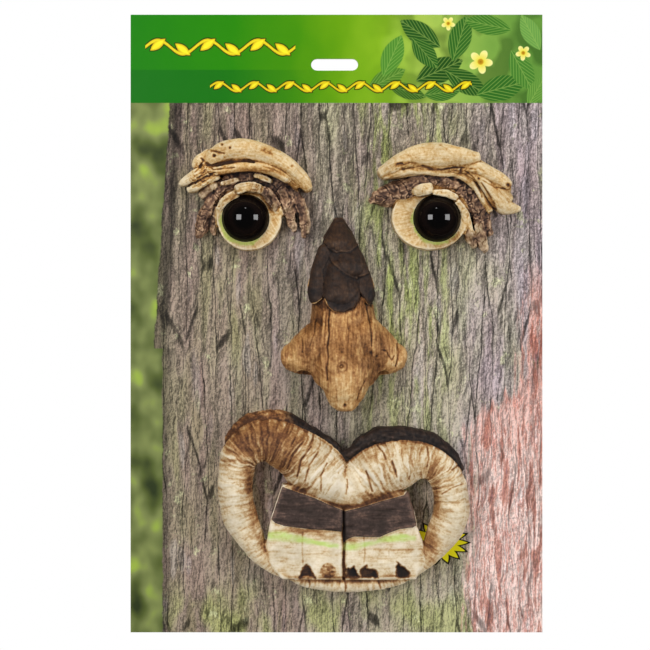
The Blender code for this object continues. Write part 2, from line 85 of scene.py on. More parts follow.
hang_lamp("left softbox", (-0.83, -1.26, 0.16), 0.62, 8.6)
hang_lamp("right softbox", (1.17, -0.95, 0.16), 0.62, 8.0)
hang_lamp("overhead panel", (-0.15, -0.75, 1.10), 0.5, 9.0, mirrored=False)
hang_lamp("small top lamp", (-0.05, -1.05, 1.22), 0.12, 0.35)
hang_lamp("back fill", (0.5, 1.7, 0.7), 1.0, 14.0, mirrored=False)


def linear(colour):
    """An sRGB hex colour as linear red, green and blue."""
    shares = [int(colour[i:i + 2], 16) / 255 for i in (1, 3, 5)]
    return tuple(s / 12.92 if s <= 0.04045 else ((s + 0.055) / 1.055) ** 2.4 for s in shares)


def add(tree, kind, sockets=None, out=0, stops=None, **settings):
    """Adds one node with its settings, values and links. Gives its numbered output, or the node itself."""
    node = tree.nodes.new(kind)
    for name, value in settings.items():
        setattr(node, name, value)
    for key, value in (sockets or {}).items():
        if isinstance(value, bpy.types.NodeSocket):
            tree.links.new(value, node.inputs[key])
        elif isinstance(value, str):
            node.inputs[key].default_value = (*linear(value), 1.0)
        else:
            node.inputs[key].default_value = value
    if stops:
        ramp = node.color_ramp
        ramp.elements[0].position, ramp.elements[-1].position = stops[0][0], stops[-1][0]
        for place, _ in stops[1:-1]:
            ramp.elements.new(place)
        for element, (_, colour) in zip(ramp.elements, stops):
            element.color = (*linear(colour), 1.0)
    return node if out is None else node.outputs[out]


world = bpy.data.worlds.new("white studio")
world.use_nodes = True
studio = world.node_tree
paths = add(studio, "ShaderNodeLightPath", out=None)
brightness = add(studio, "ShaderNodeMapRange", {0: paths.outputs["Is Glossy Ray"], 3: 0.17, 4: 0.02})
brightness = add(studio, "ShaderNodeMix", {0: paths.outputs["Is Camera Ray"], 2: brightness, 3: 1.0})
studio.links.new(brightness, studio.nodes["Background"].inputs["Strength"])
studio.nodes["Background"].inputs["Color"].default_value = (1.0, 1.0, 1.0, 1.0)
bpy.context.scene.world = world
bpy.context.scene.view_settings.view_transform = 'Standard'

MATH, VECTOR, MIX, NOISE = "ShaderNodeMath", "ShaderNodeVectorMath", "ShaderNodeMix", "ShaderNodeTexNoise"
CELLS, RANGE = "ShaderNodeTexVoronoi", "ShaderNodeMapRange"
RAMP, BUMP = "ShaderNodeValToRGB", "ShaderNodeBump"

sweep_mesh = bmesh.new()
bmesh.ops.create_circle(sweep_mesh, cap_ends=True, radius=2.4, segments=96)
bmesh.ops.translate(sweep_mesh, verts=sweep_mesh.verts, vec=(0, 0, -SWEEP_DROP))
sweep_data = bpy.data.meshes.new("sweep")
sweep_mesh.to_mesh(sweep_data)
sweep_mesh.free()
sweep = bpy.data.objects.new("sweep", sweep_data)
bpy.context.scene.collection.objects.link(sweep)
sweep_paint = bpy.data.materials.new("matt studio paint")
sweep_paint.use_nodes = True
tree = sweep_paint.node_tree
mottle = add(tree, NOISE, {"Vector": add(tree, "ShaderNodeTexCoord", out=3), "Scale": 3.0, "Detail": 3.0})
tone = add(tree, RAMP, {0: mottle}, stops=[(0.3, "#e6e5e2"), (0.7, "#ecebe9")])
tree.links.new(tone, tree.nodes["Principled BSDF"].inputs["Base Color"])
tree.nodes["Principled BSDF"].inputs["Roughness"].default_value = 0.8
sweep_data.materials.append(sweep_paint)
sweep.visible_glossy = False

# The backing card
# A flat upright board, 280 x 420 mm and 2 mm thick, die cut with a round-ended hang slot. Its front is a
# glossy litho print: a tree trunk in close-up under a green leafy header strip; edges and back are bare.
HEADER_FOOT = 150.0  # mm over the card's centre where the header strip ends
TRUNK_EDGE = -115.5  # mm, where the printed trunk gives way to blurred leaves
PEEL_EDGE = 88.0  # mm, left edge of the printed patch where the bark has peeled
BURST_CENTRE = (69.6, -149.0)
BURST_RADIUS = 22.0
BURST_FLATTENING = 0.72
BURST_POINTS = 15
# Printed leaves: x, z, half length, half width in mm, turn in degrees, colour
PRINTED_LEAVES = [
    (34, 166, 15, 7.0, 28, "#4a7d26"), (48, 158, 14, 5.5, -18, "#2c5c18"), (38, 182, 16, 7.5, 66, "#4d8a2c"),
    (57, 197, 17, 8.0, 146, "#23541a"), (70, 172, 18, 9.0, 24, "#1f4d16"), (60, 184, 14, 7.0, -50, "#285e1d"),
    (84, 194, 17, 8.0, 72, "#2e661f"), (88, 164, 17, 8.0, -30, "#245619"), (72, 157, 13, 6.0, 8, "#356b22"),
    (112, 160, 18, 9.0, 15, "#2f6a20"), (126, 172, 16, 8.0, -62, "#457f2c"),
    (103, 203, 17, 7.0, 168, "#3f7826"), (132, 198, 14, 6.5, 118, "#689c46"),
    (136, 158, 12, 6.0, 60, "#5a8e36"),
]
# Printed blossoms: x, z, radius in mm, turn
PRINTED_BLOSSOMS = [(98, 178, 8.5, 0.3), (127, 184, 5.5, 1.0), (76, 204, 5.0, 0.7)]
# Printed vines in place of a title: start x, end x, z, swing, wave length, half thickness, leaf half length
PRINTED_VINES = [(-130, -28, 188.0, 4.6, 34.0, 1.25, 6.6), (-86, 92, 161.0, 3.0, 24.0, 0.85, 4.4)]

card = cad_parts["backing_card"]
printed_board = bpy.data.materials.new("litho printed board")
printed_board.use_nodes = True
tree = printed_board.node_tree
place = add(tree, VECTOR, {0: add(tree, "ShaderNodeTexCoord", out=3), "Scale": 1000.0}, operation='SCALE')
parts = add(tree, "ShaderNodeSeparateXYZ", {0: place}, out=None)
across, depth, up = parts.outputs
flat = add(tree, "ShaderNodeCombineXYZ", {0: across, 1: up, 2: 0.0})

# Bark as a camera records it: grit and scales on upright plates, parted by thin dark cracks
sway = add(tree, NOISE, {"Vector": add(tree, VECTOR, {0: flat, 1: (1 / 12.0, 1 / 38.0, 0.0)},
                                       operation='MULTIPLY'),
                         "Scale": 1.0, "Detail": 4.0, "Roughness": 0.62}, out=1, noise_dimensions='2D')
sway = add(tree, VECTOR, {0: add(tree, VECTOR, {0: sway, 1: (0.5, 0.5, 0.0)}, operation='SUBTRACT'),
                          1: (5.0, 9.0, 0.0)}, operation='MULTIPLY')
swayed = add(tree, VECTOR, {0: flat, 1: sway}, operation='ADD')
tone = 0.0
# Width and height in mm of one bump, roughness, then how strongly it lightens or darkens the print
for wide, tall, roughness, strength in ((14.0, 50.0, 0.5, 1.6), (3.4, 46.0, 0.55, 2.3), (2.2, 8.0, 0.6, 1.2),
                                        (1.4, 1.9, 0.75, 3.4)):
    layer = add(tree, NOISE, {"Vector": add(tree, VECTOR, {0: swayed, 1: (1 / wide, 1 / tall, 0.0)},
                                            operation='MULTIPLY'),
                              "Scale": 1.0, "Detail": 2.0, "Roughness": roughness}, noise_dimensions='2D')
    layer = add(tree, MATH, {0: layer, 1: 0.5}, operation='SUBTRACT')
    tone = add(tree, MATH, {0: layer, 1: strength, 2: tone}, operation='MULTIPLY_ADD')
# Light from one side on the bark's flakes: the difference of one rough height at two places close together
for offset, strength in ((0.0, 8.5), (0.55, -8.5)):
    moved = add(tree, VECTOR, {0: swayed, 1: (offset, -offset, 0.0)}, operation='ADD')
    height = add(tree, NOISE, {"Vector": add(tree, VECTOR, {0: moved, 1: (1 / 5.0, 1 / 12.0, 0.0)},
                                             operation='MULTIPLY'),
                               "Scale": 1.0, "Detail": 5.0, "Roughness": 0.66}, noise_dimensions='2D')
    tone = add(tree, MATH, {0: height, 1: strength, 2: tone}, operation='MULTIPLY_ADD')
# Plates: width and height in mm, half width of the crack round one, its depth, share of the trunk free of it
for wide, tall, half_width, strength, free in (
        (11.5, 120.0, 0.042, -2.3, 0.45), (5.4, 90.0, 0.05, -1.3, 0.47), (3.0, 44.0, 0.07, -0.6, 0.50)):
    stretched = add(tree, VECTOR, {0: swayed, 1: (1 / wide, 1 / tall, 0.0)}, operation='MULTIPLY')
    plate = add(tree, CELLS, {"Vector": stretched, "Scale": 1.0}, feature='DISTANCE_TO_EDGE',
                voronoi_dimensions='2D')
    line = add(tree, RANGE, {0: plate, 1: half_width, 2: half_width * 0.2}, interpolation_type='SMOOTHSTEP')
    here = add(tree, VECTOR, {0: stretched, 1: (17.3, 9.1, 0.0)}, operation='ADD')
    here = add(tree, NOISE, {"Vector": here, "Scale": 1.1, "Detail": 2.0}, noise_dimensions='2D')
    here = add(tree, RANGE, {0: here, 1: free - 0.05, 2: free + 0.05})
    line = add(tree, MATH, {0: line, 1: here}, operation='MULTIPLY')
    tone = add(tree, MATH, {0: line, 1: strength, 2: tone}, operation='MULTIPLY_ADD')
paler_below = add(tree, RANGE, {0: up, 1: 150.0, 2: -60.0, 3: -0.08, 4: 0.50})
tone = add(tree, MATH, {0: tone, 1: paler_below}, operation='ADD')
tone = add(tree, MATH, {0: tone, 1: 1.05, 2: 0.9}, operation='SMOOTH_MIN')
tone = add(tree, MATH, {0: 2.0, 1: tone}, operation='POWER')

# Bark colours run from tan on the left through grey to lavender on the right, with green algae between
drift = add(tree, NOISE, {"Vector": add(tree, VECTOR, {0: flat, 1: (1 / 26.0, 1 / 60.0, 0.0)},
                                        operation='MULTIPLY'),
                          "Scale": 1.0, "Detail": 3.0}, out=None, noise_dimensions='2D')
zone = add(tree, RANGE, {0: across, 1: -140.0, 2: 140.0})
zone = add(tree, MATH, {0: add(tree, MATH, {0: drift.outputs[0], 1: 0.5}, operation='SUBTRACT'), 1: 0.45,
                        2: zone}, operation='MULTIPLY_ADD')
bark = add(tree, RAMP, {0: zone}, stops=[
    (0.06, "#65553d"), (0.26, "#715f4b"), (0.46, "#7f7269"), (0.60, "#8f8871"), (0.76, "#9b9481"),
    (0.88, "#96898c"), (1.0, "#a5979f")])
# Each plate has its own cast: olive, tan, grey, pink or mauve
for wide, tall, share in ((11.5, 92.0, 0.32), (5.0, 30.0, 0.26)):
    stretched = add(tree, VECTOR, {0: swayed, 1: (1 / wide, 1 / tall, 0.0)}, operation='MULTIPLY')
    cast = add(tree, CELLS, {"Vector": stretched, "Scale": 1.0}, out=1, feature='SMOOTH_F1',
               voronoi_dimensions='2D')
    cast = add(tree, "ShaderNodeSeparateXYZ", {0: cast})
    cast = add(tree, RAMP, {0: cast}, stops=[
        (0.05, "#80825e"), (0.28, "#96907a"), (0.45, "#897f76"), (0.62, "#9a8a82"), (0.8, "#826e6e"),
        (0.95, "#a49ba0")])
    bark = add(tree, MIX, {0: share, 6: bark, 7: cast}, out=2, data_type='RGBA')
streak = add(tree, NOISE, {"Vector": add(tree, VECTOR, {0: swayed, 1: (1 / 7.0, 1 / 48.0, 0.0)},
                                         operation='MULTIPLY'),
                           "Scale": 1.0, "Detail": 4.0, "Roughness": 0.6}, out=None, noise_dimensions='2D')
algae = add(tree, RANGE, {0: streak.outputs[0], 1: 0.42, 2: 0.66}, interpolation_type='SMOOTHSTEP')
near_algae = add(tree, MATH, {0: add(tree, MATH, {0: across, 1: 46.0}, operation='SUBTRACT'), 1: 30.0},
                 operation='DIVIDE')
near_algae = add(tree, RANGE, {0: add(tree, MATH, {0: near_algae}, operation='ABSOLUTE'), 1: 1.6, 2: 0.5,
                               3: 0.0, 4: 0.8}, interpolation_type='SMOOTHSTEP')
high_algae = add(tree, RANGE, {0: up, 1: -120.0, 2: 0.0, 3: 0.25, 4: 1.0})
algae = add(tree, MATH, {0: algae, 1: near_algae}, operation='MULTIPLY')
algae = add(tree, MATH, {0: algae, 1: high_algae}, operation='MULTIPLY')
bark = add(tree, MIX, {0: algae, 6: bark, 7: "#868f50"}, out=2, data_type='RGBA')
moss = add(tree, RANGE, {0: up, 1: -168.0, 2: -196.0}, interpolation_type='SMOOTHSTEP')
moss = add(tree, MATH, {0: moss, 1: add(tree, RANGE, {0: drift.outputs[0], 1: 0.45, 2: 0.6})},
           operation='MULTIPLY')
bark = add(tree, MIX, {0: add(tree, MATH, {0: moss, 1: 0.6}, operation='MULTIPLY'), 6: bark, 7: "#8b9152"},
           out=2, data_type='RGBA')
lichen = add(tree, NOISE, {"Vector": add(tree, VECTOR, {0: flat, 1: (1 / 13.0, 1 / 16.0, 0.0)},
                                         operation='MULTIPLY'),
                           "Scale": 1.0, "Detail": 6.0, "Roughness": 0.7}, noise_dimensions='2D')
lichen = add(tree, RANGE, {0: lichen, 1: 0.62, 2: 0.68})
bark = add(tree, MIX, {0: add(tree, MATH, {0: lichen, 1: 0.55}, operation='MULTIPLY'), 6: bark, 7: "#b3b58d"},
           out=2, data_type='RGBA')

# Peeled patch, lower right: pink and red-brown inner bark in long vertical streaks
peel_line = add(tree, RANGE, {0: up, 1: -74.0, 2: -34.0, 3: PEEL_EDGE, 4: 127.0},
                interpolation_type='SMOOTHSTEP')
strips = add(tree, NOISE, {"Vector": add(tree, VECTOR, {0: swayed, 1: (1 / 4.0, 1 / 40.0, 0.0)},
                                         operation='MULTIPLY'),
                           "Scale": 1.0, "Detail": 5.0, "Roughness": 0.6}, noise_dimensions='2D')
peel = add(tree, MATH, {0: across, 1: peel_line}, operation='SUBTRACT')
peel = add(tree, MATH, {0: add(tree, MATH, {0: strips, 1: 0.5}, operation='SUBTRACT'), 1: 46.0, 2: peel},
           operation='MULTIPLY_ADD')
peel = add(tree, RANGE, {0: peel, 1: -3.0, 2: 7.0}, interpolation_type='SMOOTHSTEP')
peel = add(tree, MATH, {0: peel, 1: add(tree, RANGE, {0: up, 1: 44.0, 2: 16.0})}, operation='MULTIPLY')
peel_grain = add(tree, NOISE, {"Vector": add(tree, VECTOR, {0: swayed, 1: (1 / 5.5, 1 / 44.0, 0.0)},
                                             operation='MULTIPLY'),
                               "Scale": 1.0, "Detail": 7.0, "Roughness": 0.66}, noise_dimensions='2D')
inner_bark = add(tree, RAMP, {0: peel_grain}, stops=[
    (0.28, "#78626a"), (0.37, "#976658"), (0.44, "#b58c82"), (0.50, "#ccb8b2"), (0.55, "#c2a89f"),
    (0.60, "#a8756a"), (0.66, "#c5ada8"), (0.76, "#dbd0cc")])
high_peel = add(tree, RANGE, {0: up, 1: -105.0, 2: -50.0, 4: 0.40})
inner_bark = add(tree, MIX, {0: high_peel, 6: inner_bark, 7: "#a4604e"}, out=2, data_type='RGBA')
bark = add(tree, MIX, {0: peel, 6: bark, 7: inner_bark}, out=2, data_type='RGBA')
tone = add(tree, MIX, {0: add(tree, MATH, {0: peel, 1: 0.30}, operation='MULTIPLY'), 2: tone, 3: 1.25})
bark = add(tree, VECTOR, {0: bark, "Scale": tone}, operation='SCALE')

# Blurred foliage beside the trunk, out of focus, and the trunk's dark rim in front of it
rim_wander = add(tree, NOISE, {"Vector": add(tree, "ShaderNodeCombineXYZ", {0: 0.0, 1: up}), "Scale": 0.05,
                               "Detail": 6.0, "Roughness": 0.7}, noise_dimensions='2D')
rim = add(tree, RANGE, {0: up, 1: 150.0, 2: -16.0, 3: TRUNK_EDGE, 4: TRUNK_EDGE - 11.0})
rim = add(tree, MIX, {0: add(tree, MATH, {0: up, 1: -17.0}, operation='LESS_THAN'), 2: rim,
                      3: TRUNK_EDGE - 5.0})
rim = add(tree, MATH, {0: rim_wander, 1: 5.0, 2: rim}, operation='MULTIPLY_ADD')
from_rim = add(tree, MATH, {0: across, 1: rim}, operation='SUBTRACT')
rim_shade = add(tree, RANGE, {0: from_rim, 1: 0.0, 2: 9.0, 3: 0.45, 4: 1.0}, interpolation_type='SMOOTHSTEP')
furrow = add(tree, MATH, {0: rim_wander, 1: 9.0, 2: from_rim}, operation='MULTIPLY_ADD')
furrow = add(tree, MATH, {0: add(tree, MATH, {0: furrow, 1: 10.5}, operation='SUBTRACT')},
             operation='ABSOLUTE')
furrow = add(tree, RANGE, {0: furrow, 1: 1.4, 2: 4.4, 3: 0.36, 4: 1.0}, interpolation_type='SMOOTHSTEP')
furrow = add(tree, MIX, {0: add(tree, RANGE, {0: up, 1: -40.0, 2: 0.0}), 2: 1.0, 3: furrow})
rim_shade = add(tree, MATH, {0: rim_shade, 1: furrow}, operation='MULTIPLY')
bark = add(tree, VECTOR, {0: bark, "Scale": rim_shade}, operation='SCALE')
blur = add(tree, NOISE, {"Vector": add(tree, VECTOR, {0: flat, 1: (1 / 20.0, 1 / 25.0, 0.0)},
                                       operation='MULTIPLY'),
                         "Scale": 1.0, "Detail": 1.5, "Roughness": 0.5}, noise_dimensions='2D')
leaves = add(tree, RAMP, {0: blur}, stops=[
    (0.24, "#2f3a1e"), (0.40, "#56622f"), (0.50, "#6b7642"), (0.60, "#808b50"), (0.74, "#9bb347")])
trunk = add(tree, RANGE, {0: from_rim, 1: -1.0, 2: 0.4}, interpolation_type='SMOOTHSTEP')
print_colour = add(tree, MIX, {0: trunk, 6: leaves, 7: bark}, out=2, data_type='RGBA')

# Star burst, mostly behind the mouth: flat yellow with a black edge
centred = add(tree, VECTOR, {0: flat, 1: (*BURST_CENTRE, 0.0)}, operation='SUBTRACT')
centred = add(tree, VECTOR, {0: centred, 1: (1.0, 1 / BURST_FLATTENING, 0.0)}, operation='MULTIPLY')
burst = add(tree, "ShaderNodeSeparateXYZ", {0: centred}, out=None)
turn = add(tree, MATH, {0: burst.outputs[1], 1: burst.outputs[0]}, operation='ARCTAN2')
spike = add(tree, MATH, {0: add(tree, MATH, {0: turn, 1: BURST_POINTS / (2 * math.pi), 2: 60.0},
                                operation='MULTIPLY_ADD'), 1: 0.5}, operation='PINGPONG')
reach = add(tree, MATH, {0: spike, 1: -0.62 * BURST_RADIUS, 2: BURST_RADIUS}, operation='MULTIPLY_ADD')
inside = add(tree, MATH, {0: reach, 1: add(tree, VECTOR, {0: centred}, out=1, operation='LENGTH')},
             operation='SUBTRACT')
print_colour = add(tree, MIX, {0: add(tree, RANGE, {0: inside, 1: -0.15, 2: 0.15}), 6: print_colour,
                               7: "#17150b"}, out=2, data_type='RGBA')
print_colour = add(tree, MIX, {0: add(tree, RANGE, {0: inside, 1: 2.2, 2: 2.7}), 6: print_colour,
                               7: "#f2e81c"}, out=2, data_type='RGBA')

# Header strip: deep green running to pale lime, leaves and blossoms at the right, yellow vines at the left
ground = add(tree, RANGE, {0: across, 1: -140.0, 2: 140.0})
ground = add(tree, MATH, {0: blur, 1: 0.10, 2: ground}, operation='MULTIPLY_ADD')
ground = add(tree, RAMP, {0: ground}, stops=[
    (0.0, "#147a06"), (0.28, "#278403"), (0.44, "#438d05"), (0.56, "#649d0b"), (0.66, "#82b01e"),
    (0.78, "#a4c050"), (0.88, "#8ab04a"), (1.0, "#62923a")])
shaded = add(tree, MATH, {0: add(tree, RANGE, {0: across, 1: 20.0, 2: 60.0}),
                          1: add(tree, RANGE, {0: blur, 1: 0.56, 2: 0.42})}, operation='MULTIPLY')
ground = add(tree, MIX, {0: add(tree, MATH, {0: shaded, 1: 0.55}, operation='MULTIPLY'), 6: ground,
                         7: "#1d4512"}, out=2, data_type='RGBA')
low_band = add(tree, MATH, {0: add(tree, RANGE, {0: up, 1: HEADER_FOOT + 22.8, 2: HEADER_FOOT + 22.2}),
                            1: add(tree, RANGE, {0: across, 1: -10.0, 2: -80.0})}, operation='MULTIPLY')
header = add(tree, MIX, {0: add(tree, MATH, {0: low_band, 1: 0.75}, operation='MULTIPLY'), 6: ground,
                         7: "#0f6a12"}, out=2, data_type='RGBA')
for x, z, half_length, half_width, degrees, colour in PRINTED_LEAVES:
    local = add(tree, "ShaderNodeMapping", {"Vector": flat, "Location": (x, z, 0),
                                            "Rotation": (0, 0, math.radians(degrees)),
                                            "Scale": (half_length, half_width, 1)}, vector_type='TEXTURE')
    leaf = add(tree, "ShaderNodeSeparateXYZ", {0: local}, out=None)
    width_left = add(tree, MATH, {0: leaf.outputs[0], 1: leaf.outputs[0]}, operation='MULTIPLY')
    off_rib = add(tree, MATH, {0: leaf.outputs[1]}, operation='ABSOLUTE')
    blade = add(tree, MATH, {0: add(tree, MATH, {0: 1.0, 1: width_left}, operation='SUBTRACT'), 1: off_rib},
                operation='SUBTRACT')
    veins = add(tree, MATH, {0: add(tree, MATH, {0: leaf.outputs[0], 1: off_rib}, operation='SUBTRACT'),
                             1: 0.13}, operation='PINGPONG')
    veins = add(tree, MATH, {0: veins, 1: add(tree, MATH, {0: off_rib, 1: 0.8}, operation='MULTIPLY')},
                operation='MINIMUM')
    glow = add(tree, RANGE, {0: veins, 1: 0.0, 2: 0.05, 3: 0.45, 4: 0.0})
    face = add(tree, MIX, {0: glow, 6: colour, 7: "#a6c862"}, out=2, data_type='RGBA')
    header = add(tree, MIX, {0: add(tree, RANGE, {0: blade, 1: 0.0, 2: 0.10}), 6: header, 7: face}, out=2,
                 data_type='RGBA')
for x, z, radius, start in PRINTED_BLOSSOMS:
    centred = add(tree, VECTOR, {0: flat, 1: (x, z, 0.0)}, operation='SUBTRACT')
    bloom = add(tree, "ShaderNodeSeparateXYZ", {0: centred}, out=None)
    turn = add(tree, MATH, {0: bloom.outputs[1], 1: bloom.outputs[0]}, operation='ARCTAN2')
    lobe = add(tree, MATH, {0: add(tree, MATH, {0: turn, 1: 2.5, 2: start}, operation='MULTIPLY_ADD')},
               operation='COSINE')
    lobe = add(tree, MATH, {0: add(tree, MATH, {0: lobe}, operation='ABSOLUTE'), 1: 0.5 * radius,
                            2: 0.5 * radius}, operation='MULTIPLY_ADD')
    out_from = add(tree, VECTOR, {0: centred}, out=1, operation='LENGTH')
    petal = add(tree, MATH, {0: lobe, 1: out_from}, operation='SUBTRACT')
    petal_colour = add(tree, RAMP, {0: add(tree, MATH, {0: out_from, 1: radius}, operation='DIVIDE')}, stops=[
        (0.0, "#9c6a12"), (0.20, "#c99a1c"), (0.28, "#e9dc4e"), (1.0, "#f3efa0")])
    header = add(tree, MIX, {0: add(tree, RANGE, {0: petal, 1: 0.0, 2: 0.5}), 6: header, 7: petal_colour},
                 out=2, data_type='RGBA')
for first, last, middle, swing, wave, half_thick, leaf_reach in PRINTED_VINES:
    run = add(tree, MATH, {0: across, 1: first}, operation='SUBTRACT')
    bend = add(tree, MATH, {0: add(tree, MATH, {0: run, 1: 2 * math.pi / wave}, operation='MULTIPLY')},
               operation='SINE')
    rise = add(tree, MATH, {0: up, 1: middle}, operation='SUBTRACT')
    stem = add(tree, MATH, {0: bend, 1: -swing, 2: rise}, operation='MULTIPLY_ADD')
    stem = add(tree, MATH, {0: half_thick, 1: add(tree, MATH, {0: stem}, operation='ABSOLUTE')},
               operation='SUBTRACT')
    side = add(tree, MATH, {0: bend}, operation='SIGN')
    step = add(tree, MATH, {0: run, 1: wave / 2}, operation='FLOORED_MODULO')
    step = add(tree, MATH, {0: step, 1: wave / 4}, operation='SUBTRACT')
    lift = add(tree, MATH, {0: add(tree, MATH, {0: rise, 1: side}, operation='MULTIPLY'), 1: swing * -0.35},
               operation='ADD')
    local = add(tree, "ShaderNodeMapping", {"Vector": add(tree, "ShaderNodeCombineXYZ", {0: step, 1: lift}),
                                            "Rotation": (0, 0, math.radians(38)),
                                            "Scale": (leaf_reach, leaf_reach * 0.42, 1)},
                vector_type='TEXTURE')
    leaf = add(tree, "ShaderNodeSeparateXYZ", {0: local}, out=None)
    blade = add(tree, MATH, {0: leaf.outputs[0], 1: leaf.outputs[0]}, operation='MULTIPLY')
    blade = add(tree, MATH, {0: 1.0, 1: blade}, operation='SUBTRACT')
    blade = add(tree, MATH, {0: blade, 1: add(tree, MATH, {0: leaf.outputs[1]}, operation='ABSOLUTE')},
                operation='SUBTRACT')
    blade = add(tree, MATH, {0: blade, 1: leaf_reach * 0.42}, operation='MULTIPLY')
    shape = add(tree, MATH, {0: stem, 1: blade}, operation='MAXIMUM')
    in_run = add(tree, MATH, {0: add(tree, MATH, {0: across, 1: first}, operation='GREATER_THAN'),
                              1: add(tree, MATH, {0: across, 1: last}, operation='LESS_THAN')},
                 operation='MULTIPLY')
    edge = add(tree, MATH, {0: add(tree, RANGE, {0: shape, 1: -0.9, 2: -0.5}), 1: in_run},
               operation='MULTIPLY')
    fill = add(tree, MATH, {0: add(tree, RANGE, {0: shape, 1: -0.1, 2: 0.2}), 1: in_run},
               operation='MULTIPLY')
    ink = add(tree, MIX, {0: add(tree, RANGE, {0: shape, 1: 0.2, 2: 1.6}), 6: "#d3b410", 7: "#f4e92a"}, out=2,
              data_type='RGBA')
    header = add(tree, MIX, {0: edge, 6: header, 7: "#23300c"}, out=2, data_type='RGBA')
    header = add(tree, MIX, {0: fill, 6: header, 7: ink}, out=2, data_type='RGBA')
in_header = add(tree, MATH, {0: up, 1: HEADER_FOOT}, operation='GREATER_THAN')
print_colour = add(tree, MIX, {0: in_header, 6: print_colour, 7: header}, out=2, data_type='RGBA')

# Bare board: grey fibrous back, and edges that show the board's pressed layers
pulp = add(tree, NOISE, {"Vector": place, "Scale": 0.9, "Detail": 5.0, "Roughness": 0.7})
pulp_colour = add(tree, RAMP, {0: pulp}, stops=[(0.3, "#a79f92"), (0.5, "#b8b1a5"), (0.7, "#c4beb3")])
plies = add(tree, MATH, {0: depth, 1: 0.2}, operation='PINGPONG')
ply_colour = add(tree, MIX, {0: add(tree, RANGE, {0: plies, 1: 0.02, 2: 0.12}), 6: "#8d8474", 7: "#cfc8ba"},
                 out=2, data_type='RGBA')
facing = add(tree, "ShaderNodeSeparateXYZ", {0: add(tree, "ShaderNodeTexCoord", out=1)}, out=None).outputs[1]
front = add(tree, MATH, {0: facing, 1: -0.5}, operation='LESS_THAN')
back = add(tree, MATH, {0: facing, 1: 0.5}, operation='GREATER_THAN')
board = add(tree, MIX, {0: back, 6: ply_colour, 7: pulp_colour}, out=2, data_type='RGBA')
board = add(tree, MIX, {0: front, 6: board, 7: print_colour}, out=2, data_type='RGBA')
shader = tree.nodes["Principled BSDF"]
tree.links.new(board, shader.inputs["Base Color"])
gloss = add(tree, RANGE, {0: front, 3: 0.85, 4: 0.27})
gloss = add(tree, MATH, {0: pulp, 1: 0.10, 2: gloss}, operation='MULTIPLY_ADD')
tree.links.new(gloss, shader.inputs["Roughness"])
tooth = add(tree, BUMP, {"Strength": 0.25, "Distance": 0.0002, "Height": pulp})
tree.links.new(tooth, shader.inputs["Normal"])
shader.inputs["IOR"].default_value = 1.45
shader.inputs["Specular IOR Level"].default_value = 0.3
for material_slot in card.material_slots:
    material_slot.material = printed_board

# The left eye casting
# Brow, bark strands, lid plates and the ring round the ball, cast in one piece of polyresin, painted cream,
# washed with brown stain that stays in the hollows, and glued to the card by its flat back.
MM = 1000.0
GLUE_FACE = -2.3  # mm, where the flat back of every casting lies
FOOT_DEPTH = 2.6  # mm that a limb runs on behind that face before it is trimmed
BALL_RADIUS = 16.0
BALL_RIM = 8.0  # mm from the glue face to where the ball's dome starts
SOCKET_FLOOR = 2.0
RING_TAPER = 0.98  # front width of the ring over its back width
CLEARANCE = 0.3
LEFT_EYE_WIDTH = 92.5
EYE_RELIEF = 24.0
LEFT_EYE_PLACE = (-61.35, 71.0)
